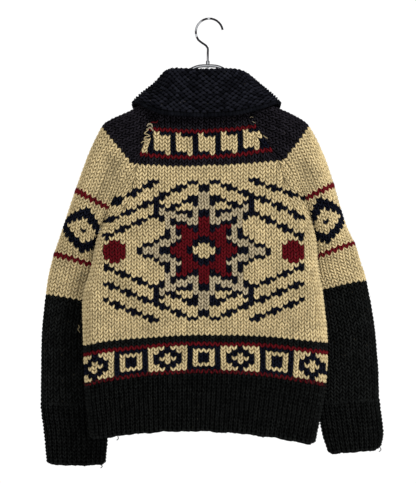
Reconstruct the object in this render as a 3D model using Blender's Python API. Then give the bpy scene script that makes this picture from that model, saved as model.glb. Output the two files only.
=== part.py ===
"""Cowichan cardigan hung on a chrome wire hanger.

The cardigan is a bulky hand knit: a back, two fronts, two raglan sleeves with
cuffs, ribbed hems, a wide folded collar and a zip. Every cloth piece is a wall
of knit that runs round an empty hollow. The hanger passes through the neck and
carries the sleeve tops.

Frame: metres, +Z up, the wearer's left is +X and the garment's front is -Y.
The origin is the inside top of the hanger's hook, where a rail bears on it.
Tables and sizes are in millimetres.
"""
import math
from functools import partial

import bmesh
import bpy
import numpy as np

MM = 0.001

# ---------------------------------------------------------------- sizes (mm)
KNIT_WALL = 6.0
COLLAR_WALL = 8.0
SEAM_GAP = 0.3
ROW_GAP = 0.5
COLLAR_SEAM = 1.0
STAND_SHARE = 0.4
SIDE_ROUND = 34.0
OUTER_FOLD_ROUND = 34.0
INNER_FOLD_ROUND = 30.0
OUTER_FOLD_SHARE = 0.56
INNER_FOLD_SHARE = 0.32
BODY_CROWN = 3.0
FRONT_WIDTH = 88.0

ZIP_X = 8.0
FRONT_EDGE = 5.6
FRONT_NECK_LEVEL = 1.35
CHAIN_WIDTH = 5.0
CHAIN_THICK = 3.4
CHAIN_SET_BACK = 1.5
TAPE_INNER = 2.9
TAPE_OUTER = 15.0
TAPE_THICK = 1.0
TAPE_OVERHANG = 8.0
ZIP_LOW_Z = -752.0
ZIP_STEP = 28.0
ZIP_BOX_HEIGHT = 9.0
ZIP_BOX_WIDTH = 7.4
ZIP_BOX_DEPTH = 5.0
ZIP_BOX_SET_BACK = 0.6
SLIDER_Z = -236.0
SLIDER_WIDTH = 8.6
SLIDER_HEIGHT = 13.0
SLIDER_THICK = 2.9
SLIDER_SET_BACK = 1.05
BRIDGE_WIDTH = 2.4
BRIDGE_HEIGHT = 10.0
BRIDGE_REACH = 4.0
BRIDGE_BAR = 1.4
BRIDGE_ROOT = 0.8
PULL_WIDTH = 6.8
PULL_LENGTH = 28.0
PULL_THICK = 1.4
PULL_EYE_WIDTH = 4.0
PULL_EYE_LENGTH = 5.6

ARM_TUBE_RADIUS = 3.0
ARM_CLEARANCE = 0.4
HOOK_WIRE_RADIUS = 2.0
HOOK_RADIUS = 25.0
HOOK_STEM_X = 2.8
HUMP_TOP_Z = -85.7
HOOK_START_DEGREES, HOOK_END_DEGREES, HOOK_STEP_DEGREES = 171, -23, -12
FERRULE_RADIUS, FERRULE_HEIGHT, FERRULE_CHAMFER = 3.4, 6.0, 1.0
NUT_WIDTH, NUT_HEIGHT = 4.8, 2.6
ARM_TIP_LEVEL = 2.3
# Centre lines below: the arms' hump at the middle and the hook's neck (x, z).
HUMP_POINTS = ((60.0, -110.5), (44.0, -99.0), (31.0, -90.6), (18.0, -86.3), (3.0, HUMP_TOP_Z),
               (-12.0, -86.3), (-25.0, -90.8), (-36.0, -101.0), (-48.0, -116.0))
HOOK_NECK_POINTS = ((20.4, -37.6), (12.8, -43.6), (6.0, -48.2), (HOOK_STEM_X, -53.0), (HOOK_STEM_X, -62.0))

# ------------------------------------------------------------ garment tables
# One row for each level of the body, from the neck to the hem. x and z are the
# edges of the row on each side: the raglan seam down to the underarm, then the
# side fold. arch lifts the middle of the row. back and front are the depths of
# the two faces. seam is how far round the edge the seam lies: 90 degrees is on
# the flat of the face and 0 is at the side fold.
BODY_COLUMNS = ("x_left", "z_left", "x_right", "z_right", "arch", "back", "front", "seam")
BODY_ROWS = {
    "neck":         (93.1, -149.3, -66.0, -147.4, -2.7, 20.0, 20.0, 90.0),
    "yoke_red_top": (112.5, -202.9, -87.3, -197.4, -6.4, 22.0, 21.0, 90.0),
    "yoke_red_low": (129.1, -248.3, -116.0, -239.9, -10.6, 24.0, 22.0, 88.0),
    "yoke_end":     (143.9, -267.7, -138.2, -260.3, -6.5, 25.0, 22.0, 84.0),
    "raglan_low":   (165.2, -306.5, -162.2, -297.3, -5.6, 27.0, 22.5, 70.0),
    "raglan_red":   (186.5, -349.1, -178.9, -332.4, -2.8, 29.0, 23.0, 44.0),
    "underarm":     (200.4, -382.4, -192.8, -378.7, 0.9, 30.0, 23.0, 0.0),
    "chest":        (209.6, -408.3, -198.7, -410.1, 2.8, 31.0, 23.0, 0.0),
    "ribs":         (220.2, -461.9, -202.2, -461.9, 5.5, 32.0, 23.0, 0.0),
    "waist":        (235.0, -513.7, -211.3, -511.9, 8.3, 33.0, 23.0, 0.0),
    "low":          (233.7, -602.5, -219.6, -598.8, 16.6, 33.0, 23.0, 0.0),
    "hem_top":      (230.9, -678.4, -215.9, -680.2, 25.0, 32.0, 23.0, 0.0),
    "hem_low":      (220.7, -778.3, -196.5, -788.5, 22.0, 30.0, 22.0, 0.0),
}
NECK_LEVEL, UNDERARM_LEVEL, HEM_LEVEL, BODY_END_LEVEL = 0, 6, 11, 12

# The sleeve's outer fold beside the raglan seam, one row for each body row, and
# how far its back and front faces lie from the hanger.
SLEEVE_CAP_COLUMNS = ("out_x", "out_y", "out_z", "back_y", "front_y")
SLEEVE_CAP_LEFT = {
    "neck":         (96.8, 0.0, -127.1, 20.0, -20.0),
    "yoke_red_top": (139.3, 0.0, -163.5, 22.0, -21.0),
    "yoke_red_low": (183.7, 0.0, -184.5, 24.0, -23.0),
    "yoke_end":     (199.4, -1.0, -198.3, 26.0, -27.0),
    "raglan_low":   (223.5, -5.0, -247.3, 28.0, -37.0),
    "raglan_red":   (248.5, -14.0, -315.8, 28.0, -50.0),
    "underarm":     (262.3, -22.0, -356.5, 22.0, -60.0),
}
SLEEVE_CAP_RIGHT = {
    "neck":         (-69.7, 0.0, -127.1, 20.0, -20.0),
    "yoke_red_top": (-112.3, 0.0, -155.4, 22.0, -21.0),
    "yoke_red_low": (-158.5, 0.0, -177.1, 24.0, -23.0),
    "yoke_end":     (-185.6, -1.0, -197.4, 26.0, -27.0),
    "raglan_low":   (-212.0, -5.0, -249.2, 28.0, -36.0),
    "raglan_red":   (-230.8, -14.0, -304.7, 28.0, -48.0),
    "underarm":     (-246.0, -22.0, -355.6, 22.0, -59.0),
}
# The closed sleeve below the underarm: its outer fold, its inner fold, which
# tucks in before the body, and the depths of its two faces.
SLEEVE_TUBE_COLUMNS = ("out_x", "out_y", "out_z", "in_x", "in_y", "in_z", "back_y", "front_y")
SLEEVE_TUBE_LEFT = {
    "tuck_1":    (273.4, -28.0, -389.8, 209.0, -24.0, -413.8, 8.0, -68.0),
    "tuck_2":    (288.2, -36.0, -433.3, 198.5, -40.0, -459.2, -14.0, -73.0),
    "tuck_3":    (298.4, -43.0, -471.2, 187.4, -49.0, -495.2, -25.0, -76.0),
    "black_top": (304.3, -49.0, -509.1, 185.6, -52.0, -528.5, -28.5, -77.0),
    "elbow":     (311.4, -52.0, -574.8, 186.5, -52.0, -587.7, -29.0, -77.0),
    "forearm":   (313.2, -50.0, -648.8, 188.3, -50.0, -656.2, -28.0, -74.0),
    "cuff_top":  (313.2, -47.0, -715.4, 190.2, -47.0, -718.2, -27.0, -69.0),
    "cuff_mid":  (306.7, -45.0, -769.0, 189.3, -45.0, -770.9, -26.5, -65.0),
    "cuff_low":  (301.2, -44.0, -822.7, 195.7, -44.0, -822.7, -25.0, -63.0),
}
SLEEVE_TUBE_RIGHT = {
    "tuck_1":    (-257.5, -28.0, -387.9, -197.2, -24.0, -413.8, 8.0, -67.0),
    "tuck_2":    (-272.3, -36.0, -418.5, -184.4, -40.0, -450.8, -14.0, -72.0),
    "tuck_3":    (-281.6, -43.0, -449.0, -171.5, -49.0, -480.4, -25.0, -75.0),
    "black_top": (-292.3, -48.0, -482.3, -173.3, -51.0, -508.2, -28.5, -75.0),
    "elbow":     (-306.5, -50.0, -560.0, -182.6, -50.0, -578.5, -28.0, -74.0),
    "forearm":   (-313.9, -46.0, -637.7, -193.7, -46.0, -648.8, -24.0, -69.0),
    "cuff_top":  (-316.7, -40.0, -708.0, -201.1, -40.0, -715.4, -19.0, -61.0),
    "cuff_mid":  (-323.2, -36.0, -765.3, -208.5, -36.0, -765.3, -17.0, -55.0),
    "cuff_low":  (-318.6, -34.0, -795.9, -220.5, -34.0, -805.1, -15.0, -53.0),
}
CUFF_LEVEL = 13

# Soft troughs (negative depth) and ridges in the cloth: the two ends of each
# crease, its half width and its depth. face is 1 for the back and -1 for the
# front; the sleeves' rows name their side.
FOLD_COLUMNS = ("panel", "face", "x0", "z0", "x1", "z1", "half_width", "depth")
FOLDS = (
    ("body", 1, 176.0, -470.0, 120.0, -560.0, 20.0, -3.5),
    ("body", 1, 150.0, -455.0, 95.0, -600.0, 18.0, 2.0),
    ("body", 1, -150.0, -500.0, -105.0, -600.0, 22.0, -2.0),
    ("body", -1, 150.0, -350.0, 70.0, -470.0, 20.0, -3.0),
    ("body", -1, -140.0, -360.0, -60.0, -500.0, 22.0, -3.0),
    ("body", -1, 120.0, -560.0, 90.0, -650.0, 20.0, -2.5),
    ("left", 1, 182.0, -262.0, 214.0, -338.0, 11.0, -5.0),
    ("left", -1, 180.0, -262.0, 215.0, -350.0, 13.0, -4.0),
    ("left", -1, 215.0, -470.0, 262.0, -560.0, 14.0, -3.5),
    ("right", 1, -176.0, -262.0, -198.0, -330.0, 11.0, -5.0),
    ("right", -1, -176.0, -265.0, -200.0, -340.0, 13.0, -4.0),
    ("right", -1, -205.0, -455.0, -255.0, -560.0, 14.0, -3.5),
)

# The collar from the middle of the back neck round to the front ends. along is
# the share of the half neckline. fold is the top of the folded edge and edge is
# the free edge of the flap that lies over the shoulders.
COLLAR_COLUMNS = ("along", "fold_x", "fold_y", "fold_z", "edge_x", "edge_y", "edge_z")
COLLAR_LEFT = {
    "back_middle": (0.00, 5.0, 21.0, -95.5, 4.0, 40.0, -182.0),
    "back_side":   (0.17, 44.0, 21.0, -94.0, 53.0, 40.0, -180.0),
    "back_corner": (0.33, 74.0, 14.0, -95.0, 95.0, 37.6, -174.0),
    "side":        (0.46, 86.0, -2.0, -111.0, 141.0, 3.0, -154.2),
    "front_side":  (0.60, 84.0, -22.0, -122.0, 131.0, -44.0, -186.0),
    "front":       (0.76, 60.0, -31.0, -154.0, 104.0, -40.0, -226.0),
    "lapel":       (0.90, 35.0, -34.0, -178.0, 70.0, -41.0, -252.0),
    "end":         (1.00, 19.0, -35.0, -192.0, 32.0, -41.0, -256.0),
}
COLLAR_RIGHT = {
    "back_middle": (0.00, 5.0, 21.0, -95.5, 4.0, 40.0, -182.0),
    "back_side":   (0.17, -30.0, 21.0, -94.0, -46.0, 40.0, -178.5),
    "back_corner": (0.33, -58.0, 14.0, -97.0, -92.0, 37.0, -168.0),
    "side":        (0.46, -76.0, -2.0, -111.0, -131.0, 3.0, -155.0),
    "front_side":  (0.60, -68.0, -22.0, -122.0, -119.0, -44.0, -186.0),
    "front":       (0.76, -44.0, -31.0, -154.0, -88.0, -40.0, -226.0),
    "lapel":       (0.90, -19.0, -34.0, -178.0, -54.0, -41.0, -252.0),
    "end":         (1.00, -3.0, -35.0, -192.0, -16.0, -41.0, -256.0),
}
FOLD_RADIUS = 7.6
FOLD_REACH, FOLD_DROP = 0.92 * FOLD_RADIUS, 0.62 * FOLD_RADIUS
FLAP_BULGE = 1.5

# ------------------------------------------------------------ grids of levels
RAGLAN_LEVELS = (0, 0.5, 1, 1.5, 2, 2.5, 3, 3.5, 4, 4.5, 5, 5.5, 6)
BODY_LOWER_LEVELS = (6.5, 7, 8, 9, 9.5, 10, 10.5, 11)
HEM_LEVELS = (11, 11.5, 12)
SLEEVE_LOWER_LEVELS = (6.5, 7, 7.5, 8, 9, 10, 11, 12, 13)
CUFF_LEVELS = (13, 14, 14.5, 15)
SIDE_CELLS = 5
MIDDLE_CELLS_BACK = 8
MIDDLE_CELLS_FRONT = 5
RING_FOLD_CELLS = 4
RING_MIDDLE_CELLS = 3


# ------------------------------------------------------------------ tables
def spline(rows, level):
    """Catmull-Rom through the rows of a table, read at a fractional row number."""
    rows = np.asarray(rows, dtype=float)
    last = len(rows) - 1
    level = min(max(level, 0.0), float(last))
    start = min(int(level), last - 1)
    t = level - start
    p1, p2 = rows[start], rows[start + 1]
    p0 = rows[start - 1] if start > 0 else 2 * p1 - p2
    p3 = rows[start + 2] if start + 2 <= last else 2 * p2 - p1
    return 0.5 * (2 * p1 + (p2 - p0) * t + (2 * p0 - 5 * p1 + 4 * p2 - p3) * t ** 2
                  + (3 * p1 - p0 - 3 * p2 + p3) * t ** 3)


def read_row(table, columns, level):
    """The named columns of a table at a fractional row number."""
    return dict(zip(columns, spline(list(table.values()), level)))


def body_row(level):
    row = read_row(BODY_ROWS, BODY_COLUMNS, level)
    row["seam"] = min(max(row["seam"], 0.0), 90.0)
    if level >= UNDERARM_LEVEL:
        row["seam"] = 0.0
    return row


def sleeve_row(side, level):
    """A sleeve ring: its folds, the depths of its faces and of its two seams with the body.

    Above the underarm its inner edge is the body's raglan seam.
    """
    cap = SLEEVE_CAP_LEFT if side == "left" else SLEEVE_CAP_RIGHT
    tube = SLEEVE_TUBE_LEFT if side == "left" else SLEEVE_TUBE_RIGHT
    merged = []
    for index, (out_x, out_y, out_z, back_y, front_y) in enumerate(cap.values()):
        body = body_row(index)
        merged.append((out_x, out_y, out_z, body["x_" + side], 0.0, body["z_" + side], back_y, front_y))
    merged += list(tube.values())
    ring = dict(zip(SLEEVE_TUBE_COLUMNS, spline(merged, level)))
    ring.update(back_seam=0.0, front_seam=0.0)
    if level <= UNDERARM_LEVEL:
        body = body_row(level)
        height = math.sin(math.radians(body["seam"]))
        ring.update(in_x=body["x_" + side], in_y=0.0, in_z=body["z_" + side])
        ring["back_seam"] = math.asin(min(1.0, body["back"] * height / ring["back_y"]))
        ring["front_seam"] = math.asin(min(1.0, body["front"] * height / -ring["front_y"]))
    return ring


# ---------------------------------------------------------------- surfaces
def rounded(distance, radius, seam=0.0):
    """Depth share at a distance from an edge that rounds away as an ellipse cut at the seam angle."""
    lead = math.cos(seam) - distance / radius
    return math.sqrt(max(0.0, 1.0 - max(0.0, lead) ** 2))


def fold_depth(panel, face, x, z):
    """Sum of the soft creases of a panel at a point of its face."""
    total = 0.0
    for row in FOLDS:
        fold = dict(zip(FOLD_COLUMNS, row))
        if fold["panel"] != panel or fold["face"] != face:
            continue
        run_x, run_z = fold["x1"] - fold["x0"], fold["z1"] - fold["z0"]
        share = ((x - fold["x0"]) * run_x + (z - fold["z0"]) * run_z) / (run_x ** 2 + run_z ** 2)
        share = min(max(share, 0.0), 1.0)
        away = math.hypot(x - fold["x0"] - share * run_x, z - fold["z0"] - share * run_z)
        total += fold["depth"] * math.exp(-(away / fold["half_width"]) ** 2)
    return total


def body_point(face, level, x):
    """Outer point of the body: face is 1 on the back and -1 on the front."""
    row = body_row(level)
    width = row["x_left"] - row["x_right"]
    across = (x - row["x_right"]) / width
    bow = 1.0 - (2.0 * across - 1.0) ** 2
    z = row["z_right"] + (row["z_left"] - row["z_right"]) * across + row["arch"] * bow
    edge = max(0.0, min(row["x_left"] - x, x - row["x_right"]))
    depth = row["back"] if face > 0 else row["front"]
    depth = depth * rounded(edge, SIDE_ROUND, math.radians(row["seam"]))
    settle = min(1.0, edge / SIDE_ROUND)
    depth += (BODY_CROWN * bow + fold_depth("body", face, x, z)) * settle
    return (x, face * depth, z)


def sleeve_point(side, level, face, share):
    """Outer point of a sleeve ring, share 0 at its outer fold and 1 at its inner fold or seam."""
    ring = sleeve_row(side, level)
    span = math.hypot(ring["in_x"] - ring["out_x"], ring["in_z"] - ring["out_z"])
    outer_round = min(OUTER_FOLD_ROUND, OUTER_FOLD_SHARE * span)
    inner_round = min(INNER_FOLD_ROUND, INNER_FOLD_SHARE * span)
    x, fold_y, z = [ring["out_" + axis] + (ring["in_" + axis] - ring["out_" + axis]) * share
                    for axis in "xyz"]
    face_y, seam = ring["back_y"], ring["back_seam"]
    if face < 0:
        face_y, seam = ring["front_y"], ring["front_seam"]
    full = rounded(share * span, outer_round) * rounded((1.0 - share) * span, inner_round, seam)
    settle = min(1.0, 2.0 * share, 2.0 * (1.0 - share))
    return (x, fold_y + (face_y - fold_y) * full + face * fold_depth(side, face, x, z) * settle, z)


def side_steps():
    """Distances from a side edge, close together where the cloth rounds away."""
    return [SIDE_ROUND * (1.0 - math.cos(math.radians(90.0 * k / SIDE_CELLS)))
            for k in range(SIDE_CELLS + 1)]


def ring_shares(side, level):
    """Shares from the outer to the inner fold, close together at both folds."""
    ring = sleeve_row(side, level)
    span = math.hypot(ring["in_x"] - ring["out_x"], ring["in_z"] - ring["out_z"])
    outer_round = min(OUTER_FOLD_ROUND, OUTER_FOLD_SHARE * span) / span
    inner_round = min(INNER_FOLD_ROUND, INNER_FOLD_SHARE * span) / span
    turns = [1.0 - math.cos(math.radians(90.0 * k / RING_FOLD_CELLS)) for k in range(RING_FOLD_CELLS + 1)]
    outer = [outer_round * turn for turn in turns]
    middle = [outer_round + (1.0 - inner_round - outer_round) * k / RING_MIDDLE_CELLS
              for k in range(1, RING_MIDDLE_CELLS)]
    inner = [1.0 - inner_round * turn for turn in reversed(turns)]
    return outer + middle + inner


# ------------------------------------------------------------------- grids
def back_grid(levels):
    """Rows of outer points of the back, from its left edge to its right edge."""
    grid = []
    for level in levels:
        row = body_row(level)
        steps = side_steps()
        left_end, right_end = row["x_left"] - SIDE_ROUND, row["x_right"] + SIDE_ROUND
        cell = (right_end - left_end) / MIDDLE_CELLS_BACK
        xs = [row["x_left"] - step for step in steps]
        xs += [left_end + cell * k for k in range(1, MIDDLE_CELLS_BACK)]
        xs += [row["x_right"] + step for step in reversed(steps)]
        grid.append([body_point(1, level, x) for x in xs])
    return np.array(grid)


def front_grid(side, levels):
    """Rows of outer points of a front, from its zip edge to its side edge.

    The top row follows the neckline, which drops from the raglan seam to the zip.
    """
    sign = 1.0 if side == "left" else -1.0
    steps = side_steps()
    inner_edge = ZIP_X + sign * FRONT_EDGE
    flat_share = 1.0 - SIDE_ROUND / FRONT_WIDTH
    shares = [flat_share * k / MIDDLE_CELLS_FRONT for k in range(MIDDLE_CELLS_FRONT)]
    shares += [1.0 - step / FRONT_WIDTH for step in reversed(steps)]
    grid = []
    for level in levels:
        points = []
        for column, share in enumerate(shares):
            drop = FRONT_NECK_LEVEL * (1.0 - share ** 2)
            own_level = level + drop * max(0.0, HEM_LEVEL - level) / (HEM_LEVEL - NECK_LEVEL)
            edge_x = body_row(own_level)["x_" + side]
            round_x = edge_x - sign * SIDE_ROUND
            if column < MIDDLE_CELLS_FRONT:
                x = inner_edge + (round_x - inner_edge) * column / MIDDLE_CELLS_FRONT
            else:
                x = edge_x - sign * steps[SIDE_CELLS - (column - MIDDLE_CELLS_FRONT)]
            points.append(body_point(-1, own_level, x))
        grid.append(points)
    return np.array(grid)


def sleeve_grid(side, levels):
    """Rings of outer points, from the front seam over the outer fold to the back seam."""
    grid = []
    for level in levels:
        shares = ring_shares(side, level)
        front = [sleeve_point(side, level, -1, share) for share in reversed(shares)]
        back = [sleeve_point(side, level, 1, share) for share in shares[1:]]
        grid.append(front + back)
    return np.array(grid)


def unit(vector):
    return vector / max(np.linalg.norm(vector), 1e-9)


def grid_normals(grid, closed_from=None):
    """Unit normals of a grid of points. Rows from closed_from on are closed rings."""
    rows, columns = grid.shape[:2]
    normals = np.zeros_like(grid)
    for i in range(rows):
        closed = closed_from is not None and i >= closed_from
        for j in range(columns):
            before, after = max(j - 1, 0), min(j + 1, columns - 1)
            if closed and j in (0, columns - 1):
                before, after = columns - 2, 1
            above, below = max(i - 1, 0), min(i + 1, rows - 1)
            across = grid[i, after] - grid[i, before]
            down = grid[below, j] - grid[above, j]
            normals[i, j] = unit(np.cross(across, down))
    return normals


def surface(make_grid, levels, before=None, after=None, closed_from=None, middle_y=0.0):
    """A grid of points with its outward normals.

    A level before or after the piece's own gives it the same normals at that end
    as the piece it is sewn to.
    """
    own_first = 0 if before is None else 1
    extended = ((before,) if own_first else ()) + tuple(levels) + (() if after is None else (after,))
    grid = make_grid(extended)
    closed = None if closed_from is None else closed_from + own_first
    normals = face_outward(grid, grid_normals(grid, closed), middle_y)
    own = slice(own_first, own_first + len(levels))
    return grid[own], normals[own]


def face_outward(grid, normals, middle_y=0.0):
    """Turn the normals so that they point away from the middle of the hollow."""
    rows, columns = grid.shape[:2]
    probe = (rows // 2, columns // 4)
    if normals[probe][1] * (grid[probe][1] - middle_y) < 0:
        normals *= -1.0
    return normals


def part_seam(grid, normals, column, rows, towards):
    """Pull a seam edge back by half the gap and keep the wall on its own side of the seam."""
    for i in rows:
        above, below = max(i - 1, 0), min(i + 1, len(grid) - 1)
        run = grid[below, column] - grid[above, column]
        lateral = unit(np.array((run[2], 0.0, -run[0])))
        if lateral[0] * towards < 0:
            lateral = -lateral
        lean = float(np.dot(normals[i, column], lateral))
        if lean < 0:
            normals[i, column] = unit(normals[i, column] - lean * lateral)
        grid[i, column] -= lateral * SEAM_GAP / 2


def part_side(grid, normals, column, rows, face):
    """Open the side seam by half the gap towards this piece's own face."""
    for i in rows:
        normals[i, column][1] = 0.0
        normals[i, column] = unit(normals[i, column])
        grid[i, column, 1] += face * SEAM_GAP / 2


def part_row(grid, row, neighbour):
    """Pull an end row back by half the gap along the cloth."""
    for j in range(grid.shape[1]):
        grid[row, j] += unit(grid[neighbour, j] - grid[row, j]) * ROW_GAP / 2


def thicken(grid, normals, wall, closed_from=None):
    """Vertices and faces of a wall that lies inside a grid of outer points."""
    rows, columns = grid.shape[:2]
    outer = grid * MM
    inner = (grid - normals * wall) * MM
    vertices, index = [], {}

    def corner(i, j, skin):
        if closed_from is not None and i >= closed_from and j == columns - 1:
            j = 0
        key = (i, j, skin)
        if key not in index:
            index[key] = len(vertices)
            vertices.append(tuple((outer if skin == 0 else inner)[i, j]))
        return index[key]

    faces = []
    for i in range(rows - 1):
        for j in range(columns - 1):
            quad = [(i, j), (i, j + 1), (i + 1, j + 1), (i + 1, j)]
            faces.append([corner(a, b, 0) for a, b in quad])
            faces.append([corner(a, b, 1) for a, b in reversed(quad)])
    for j in range(columns - 1):
        faces.append([corner(0, j, 1), corner(0, j + 1, 1), corner(0, j + 1, 0), corner(0, j, 0)])
        end = rows - 1
        faces.append([corner(end, j, 0), corner(end, j + 1, 0), corner(end, j + 1, 1), corner(end, j, 1)])
    open_rows = rows - 1 if closed_from is None else closed_from
    for i in range(open_rows):
        faces.append([corner(i, 0, 0), corner(i + 1, 0, 0), corner(i + 1, 0, 1), corner(i, 0, 1)])
        far = columns - 1
        faces.append([corner(i, far, 1), corner(i + 1, far, 1), corner(i + 1, far, 0), corner(i, far, 0)])
    return vertices, faces


# ----------------------------------------------------------------- objects
def clear_scene():
    """Start from an empty scene."""
    for item in list(bpy.data.objects):
        bpy.data.objects.remove(item, do_unlink=True)


def make_material(name, colour, roughness, metallic=0.0):
    material = bpy.data.materials.new(name)
    material.use_nodes = True
    shader = material.node_tree.nodes["Principled BSDF"]
    shader.inputs["Base Color"].default_value = (*colour, 1.0)
    shader.inputs["Roughness"].default_value = roughness
    shader.inputs["Metallic"].default_value = metallic
    return material


CREAM_WOOL = ((0.38, 0.30, 0.15), 0.95)
BLACK_WOOL = ((0.008, 0.008, 0.010), 0.95)
CHROME = ((0.72, 0.73, 0.75), 0.12, 1.0)
BRASS = ((0.55, 0.42, 0.20), 0.32, 1.0)
TAPE_CLOTH = ((0.010, 0.010, 0.012), 0.9)


def make_object(name, vertices, faces, finish, smooth_angle=60.0):
    """A closed mesh object with its faces pointing out and a material of its own."""
    mesh = bpy.data.meshes.new(name)
    mesh.from_pydata([tuple(v) for v in vertices], [], faces)
    shape = bmesh.new()
    shape.from_mesh(mesh)
    bmesh.ops.recalc_face_normals(shape, faces=shape.faces)
    if shape.calc_volume(signed=True) < 0:
        bmesh.ops.reverse_faces(shape, faces=shape.faces)
    shape.to_mesh(mesh)
    shape.free()
    mesh.shade_smooth()
    mesh.set_sharp_from_angle(angle=math.radians(smooth_angle))
    mesh.materials.append(make_material(name, *finish))
    item = bpy.data.objects.new(name, mesh)
    bpy.context.scene.collection.objects.link(item)
    return item


def tube_mesh(path, radius, sides=10):
    """A round tube along a path of points in mm, closed at both ends."""
    path = np.array(path, dtype=float)
    vertices, faces = [], []
    for i, point in enumerate(path):
        run = unit(path[min(i + 1, len(path) - 1)] - path[max(i - 1, 0)])
        side = np.array((0.0, 1.0, 0.0))
        up = unit(np.cross(run, side))
        for k in range(sides):
            turn = 2 * math.pi * k / sides
            ring = point + radius * (math.cos(turn) * up + math.sin(turn) * side)
            vertices.append(tuple(ring * MM))
    for i in range(len(path) - 1):
        for k in range(sides):
            a, b = i * sides + k, i * sides + (k + 1) % sides
            faces.append([a, b, b + sides, a + sides])
    faces.append(list(range(sides)))
    faces.append([len(vertices) - sides + k for k in reversed(range(sides))])
    return vertices, faces


def turned_mesh(profile, centre_x, sides=16):
    """A ring turned about the vertical line at centre_x from a closed profile of (radius, z)."""
    vertices, faces = [], []
    count = len(profile)
    for k in range(sides):
        turn = 2 * math.pi * k / sides
        for radius, z in profile:
            place = (centre_x + radius * math.cos(turn), radius * math.sin(turn), z)
            vertices.append(tuple(value * MM for value in place))
    for k in range(sides):
        following = (k + 1) % sides
        for p in range(count):
            q = (p + 1) % count
            faces.append([k * count + p, following * count + p, following * count + q, k * count + q])
    return vertices, faces


def box_mesh(low, high):
    """A box between two corners in mm."""
    (x0, y0, z0), (x1, y1, z1) = low, high
    corners = [(x0, y0, z0), (x1, y0, z0), (x1, y1, z0), (x0, y1, z0),
               (x0, y0, z1), (x1, y0, z1), (x1, y1, z1), (x0, y1, z1)]
    faces = [(0, 3, 2, 1), (4, 5, 6, 7), (0, 1, 5, 4), (1, 2, 6, 5), (2, 3, 7, 6), (3, 0, 4, 7)]
    return [tuple(value * MM for value in corner) for corner in corners], faces


def add_bevel(item, width, segments=2):
    bevel = item.modifiers.new("soft_edges", "BEVEL")
    bevel.width = width * MM
    bevel.segments = segments
    bevel.limit_method = "ANGLE"


def join_with(item, other, operation):
    """Join or cut an item with a second mesh object, which the build then leaves out."""
    boolean = item.modifiers.new(operation.lower(), "BOOLEAN")
    boolean.operation = operation
    boolean.solver = "EXACT"
    boolean.object = other
    other.hide_render = True
    other.display_type = "WIRE"


# ------------------------------------------------------------ cloth pieces
def edge_frames(grid, normals, columns):
    """Outer point, outward normal and the way square off the cloth at points of the top row."""
    frames = []
    last = grid.shape[1] - 1
    for j in columns:
        along = grid[0, min(j + 1, last)] - grid[0, max(j - 1, 0)]
        away = unit(np.cross(normals[0, j], along))
        if np.dot(away, grid[0, j] - grid[1, j]) < 0:
            away = -away
        frames.append((grid[0, j], normals[0, j], away))
    return frames


def make_back():
    levels = RAGLAN_LEVELS + BODY_LOWER_LEVELS
    grid, normals = surface(back_grid, levels, after=HEM_LEVELS[1])
    raglan_rows = range(len(RAGLAN_LEVELS))
    side_rows = range(len(RAGLAN_LEVELS) - 1, len(levels))
    part_row(grid, -1, -2)
    part_seam(grid, normals, 0, raglan_rows, 1.0)
    part_seam(grid, normals, -1, raglan_rows, -1.0)
    part_side(grid, normals, 0, side_rows, 1)
    part_side(grid, normals, -1, side_rows, 1)
    make_object("back", *thicken(grid, normals, KNIT_WALL), CREAM_WOOL)
    middle = range(SIDE_CELLS, SIDE_CELLS + MIDDLE_CELLS_BACK + 1, 4)
    columns = [0, 3] + list(middle) + [grid.shape[1] - 4, grid.shape[1] - 1]
    return edge_frames(grid, normals, columns)


def make_front(side):
    levels = RAGLAN_LEVELS + BODY_LOWER_LEVELS
    sign = 1.0 if side == "left" else -1.0
    grid, normals = surface(partial(front_grid, side), levels, after=HEM_LEVELS[1])
    raglan_rows = range(len(RAGLAN_LEVELS))
    side_rows = range(len(RAGLAN_LEVELS) - 1, len(levels))
    part_row(grid, -1, -2)
    part_seam(grid, normals, -1, raglan_rows, sign)
    part_side(grid, normals, -1, side_rows, -1)
    square_front_edge(normals)
    make_object("front_" + side, *thicken(grid, normals, KNIT_WALL), CREAM_WOOL)
    columns = [j for j in range(grid.shape[1]) if j != grid.shape[1] - 2]
    return edge_frames(grid, normals, columns)


def square_front_edge(normals):
    """Keep the zip edge's wall square to the zip."""
    for i in range(normals.shape[0]):
        normals[i, 0][0] = 0.0
        normals[i, 0] = unit(normals[i, 0])


def make_hem(name, make_grid, face, side_columns, zip_edge):
    grid, normals = surface(make_grid, HEM_LEVELS, before=BODY_LOWER_LEVELS[-2])
    part_row(grid, 0, 1)
    for column in side_columns:
        part_side(grid, normals, column, range(grid.shape[0]), face)
    if zip_edge:
        square_front_edge(normals)
    make_object(name, *thicken(grid, normals, KNIT_WALL), BLACK_WOOL)


def make_sleeve(side):
    levels = RAGLAN_LEVELS + SLEEVE_LOWER_LEVELS
    sign = 1.0 if side == "left" else -1.0
    closed_from = len(RAGLAN_LEVELS) - 1
    grid, normals = surface(partial(sleeve_grid, side), levels, after=CUFF_LEVELS[1],
                            closed_from=closed_from)
    part_row(grid, -1, -2)
    for column in (0, -1):
        part_seam(grid, normals, column, range(closed_from), -sign)
    for column in (0, -1):
        grid[closed_from, column, 0] += sign * SEAM_GAP
    make_object("sleeve_" + side, *thicken(grid, normals, KNIT_WALL, closed_from), CREAM_WOOL)
    last = grid.shape[1] - 1
    middle = last // 2
    columns = [0, 3] + list(range(middle - RING_FOLD_CELLS, middle + RING_FOLD_CELLS + 1)) + [last - 3, last]
    return edge_frames(grid, normals, columns)


def make_cuff(side):
    middle_y = sleeve_row(side, CUFF_LEVEL)["in_y"]
    grid, normals = surface(partial(sleeve_grid, side), CUFF_LEVELS, before=SLEEVE_LOWER_LEVELS[-2],
                            closed_from=0, middle_y=middle_y)
    part_row(grid, 0, 1)
    make_object("cuff_" + side, *thicken(grid, normals, KNIT_WALL, 0), BLACK_WOOL)


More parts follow.
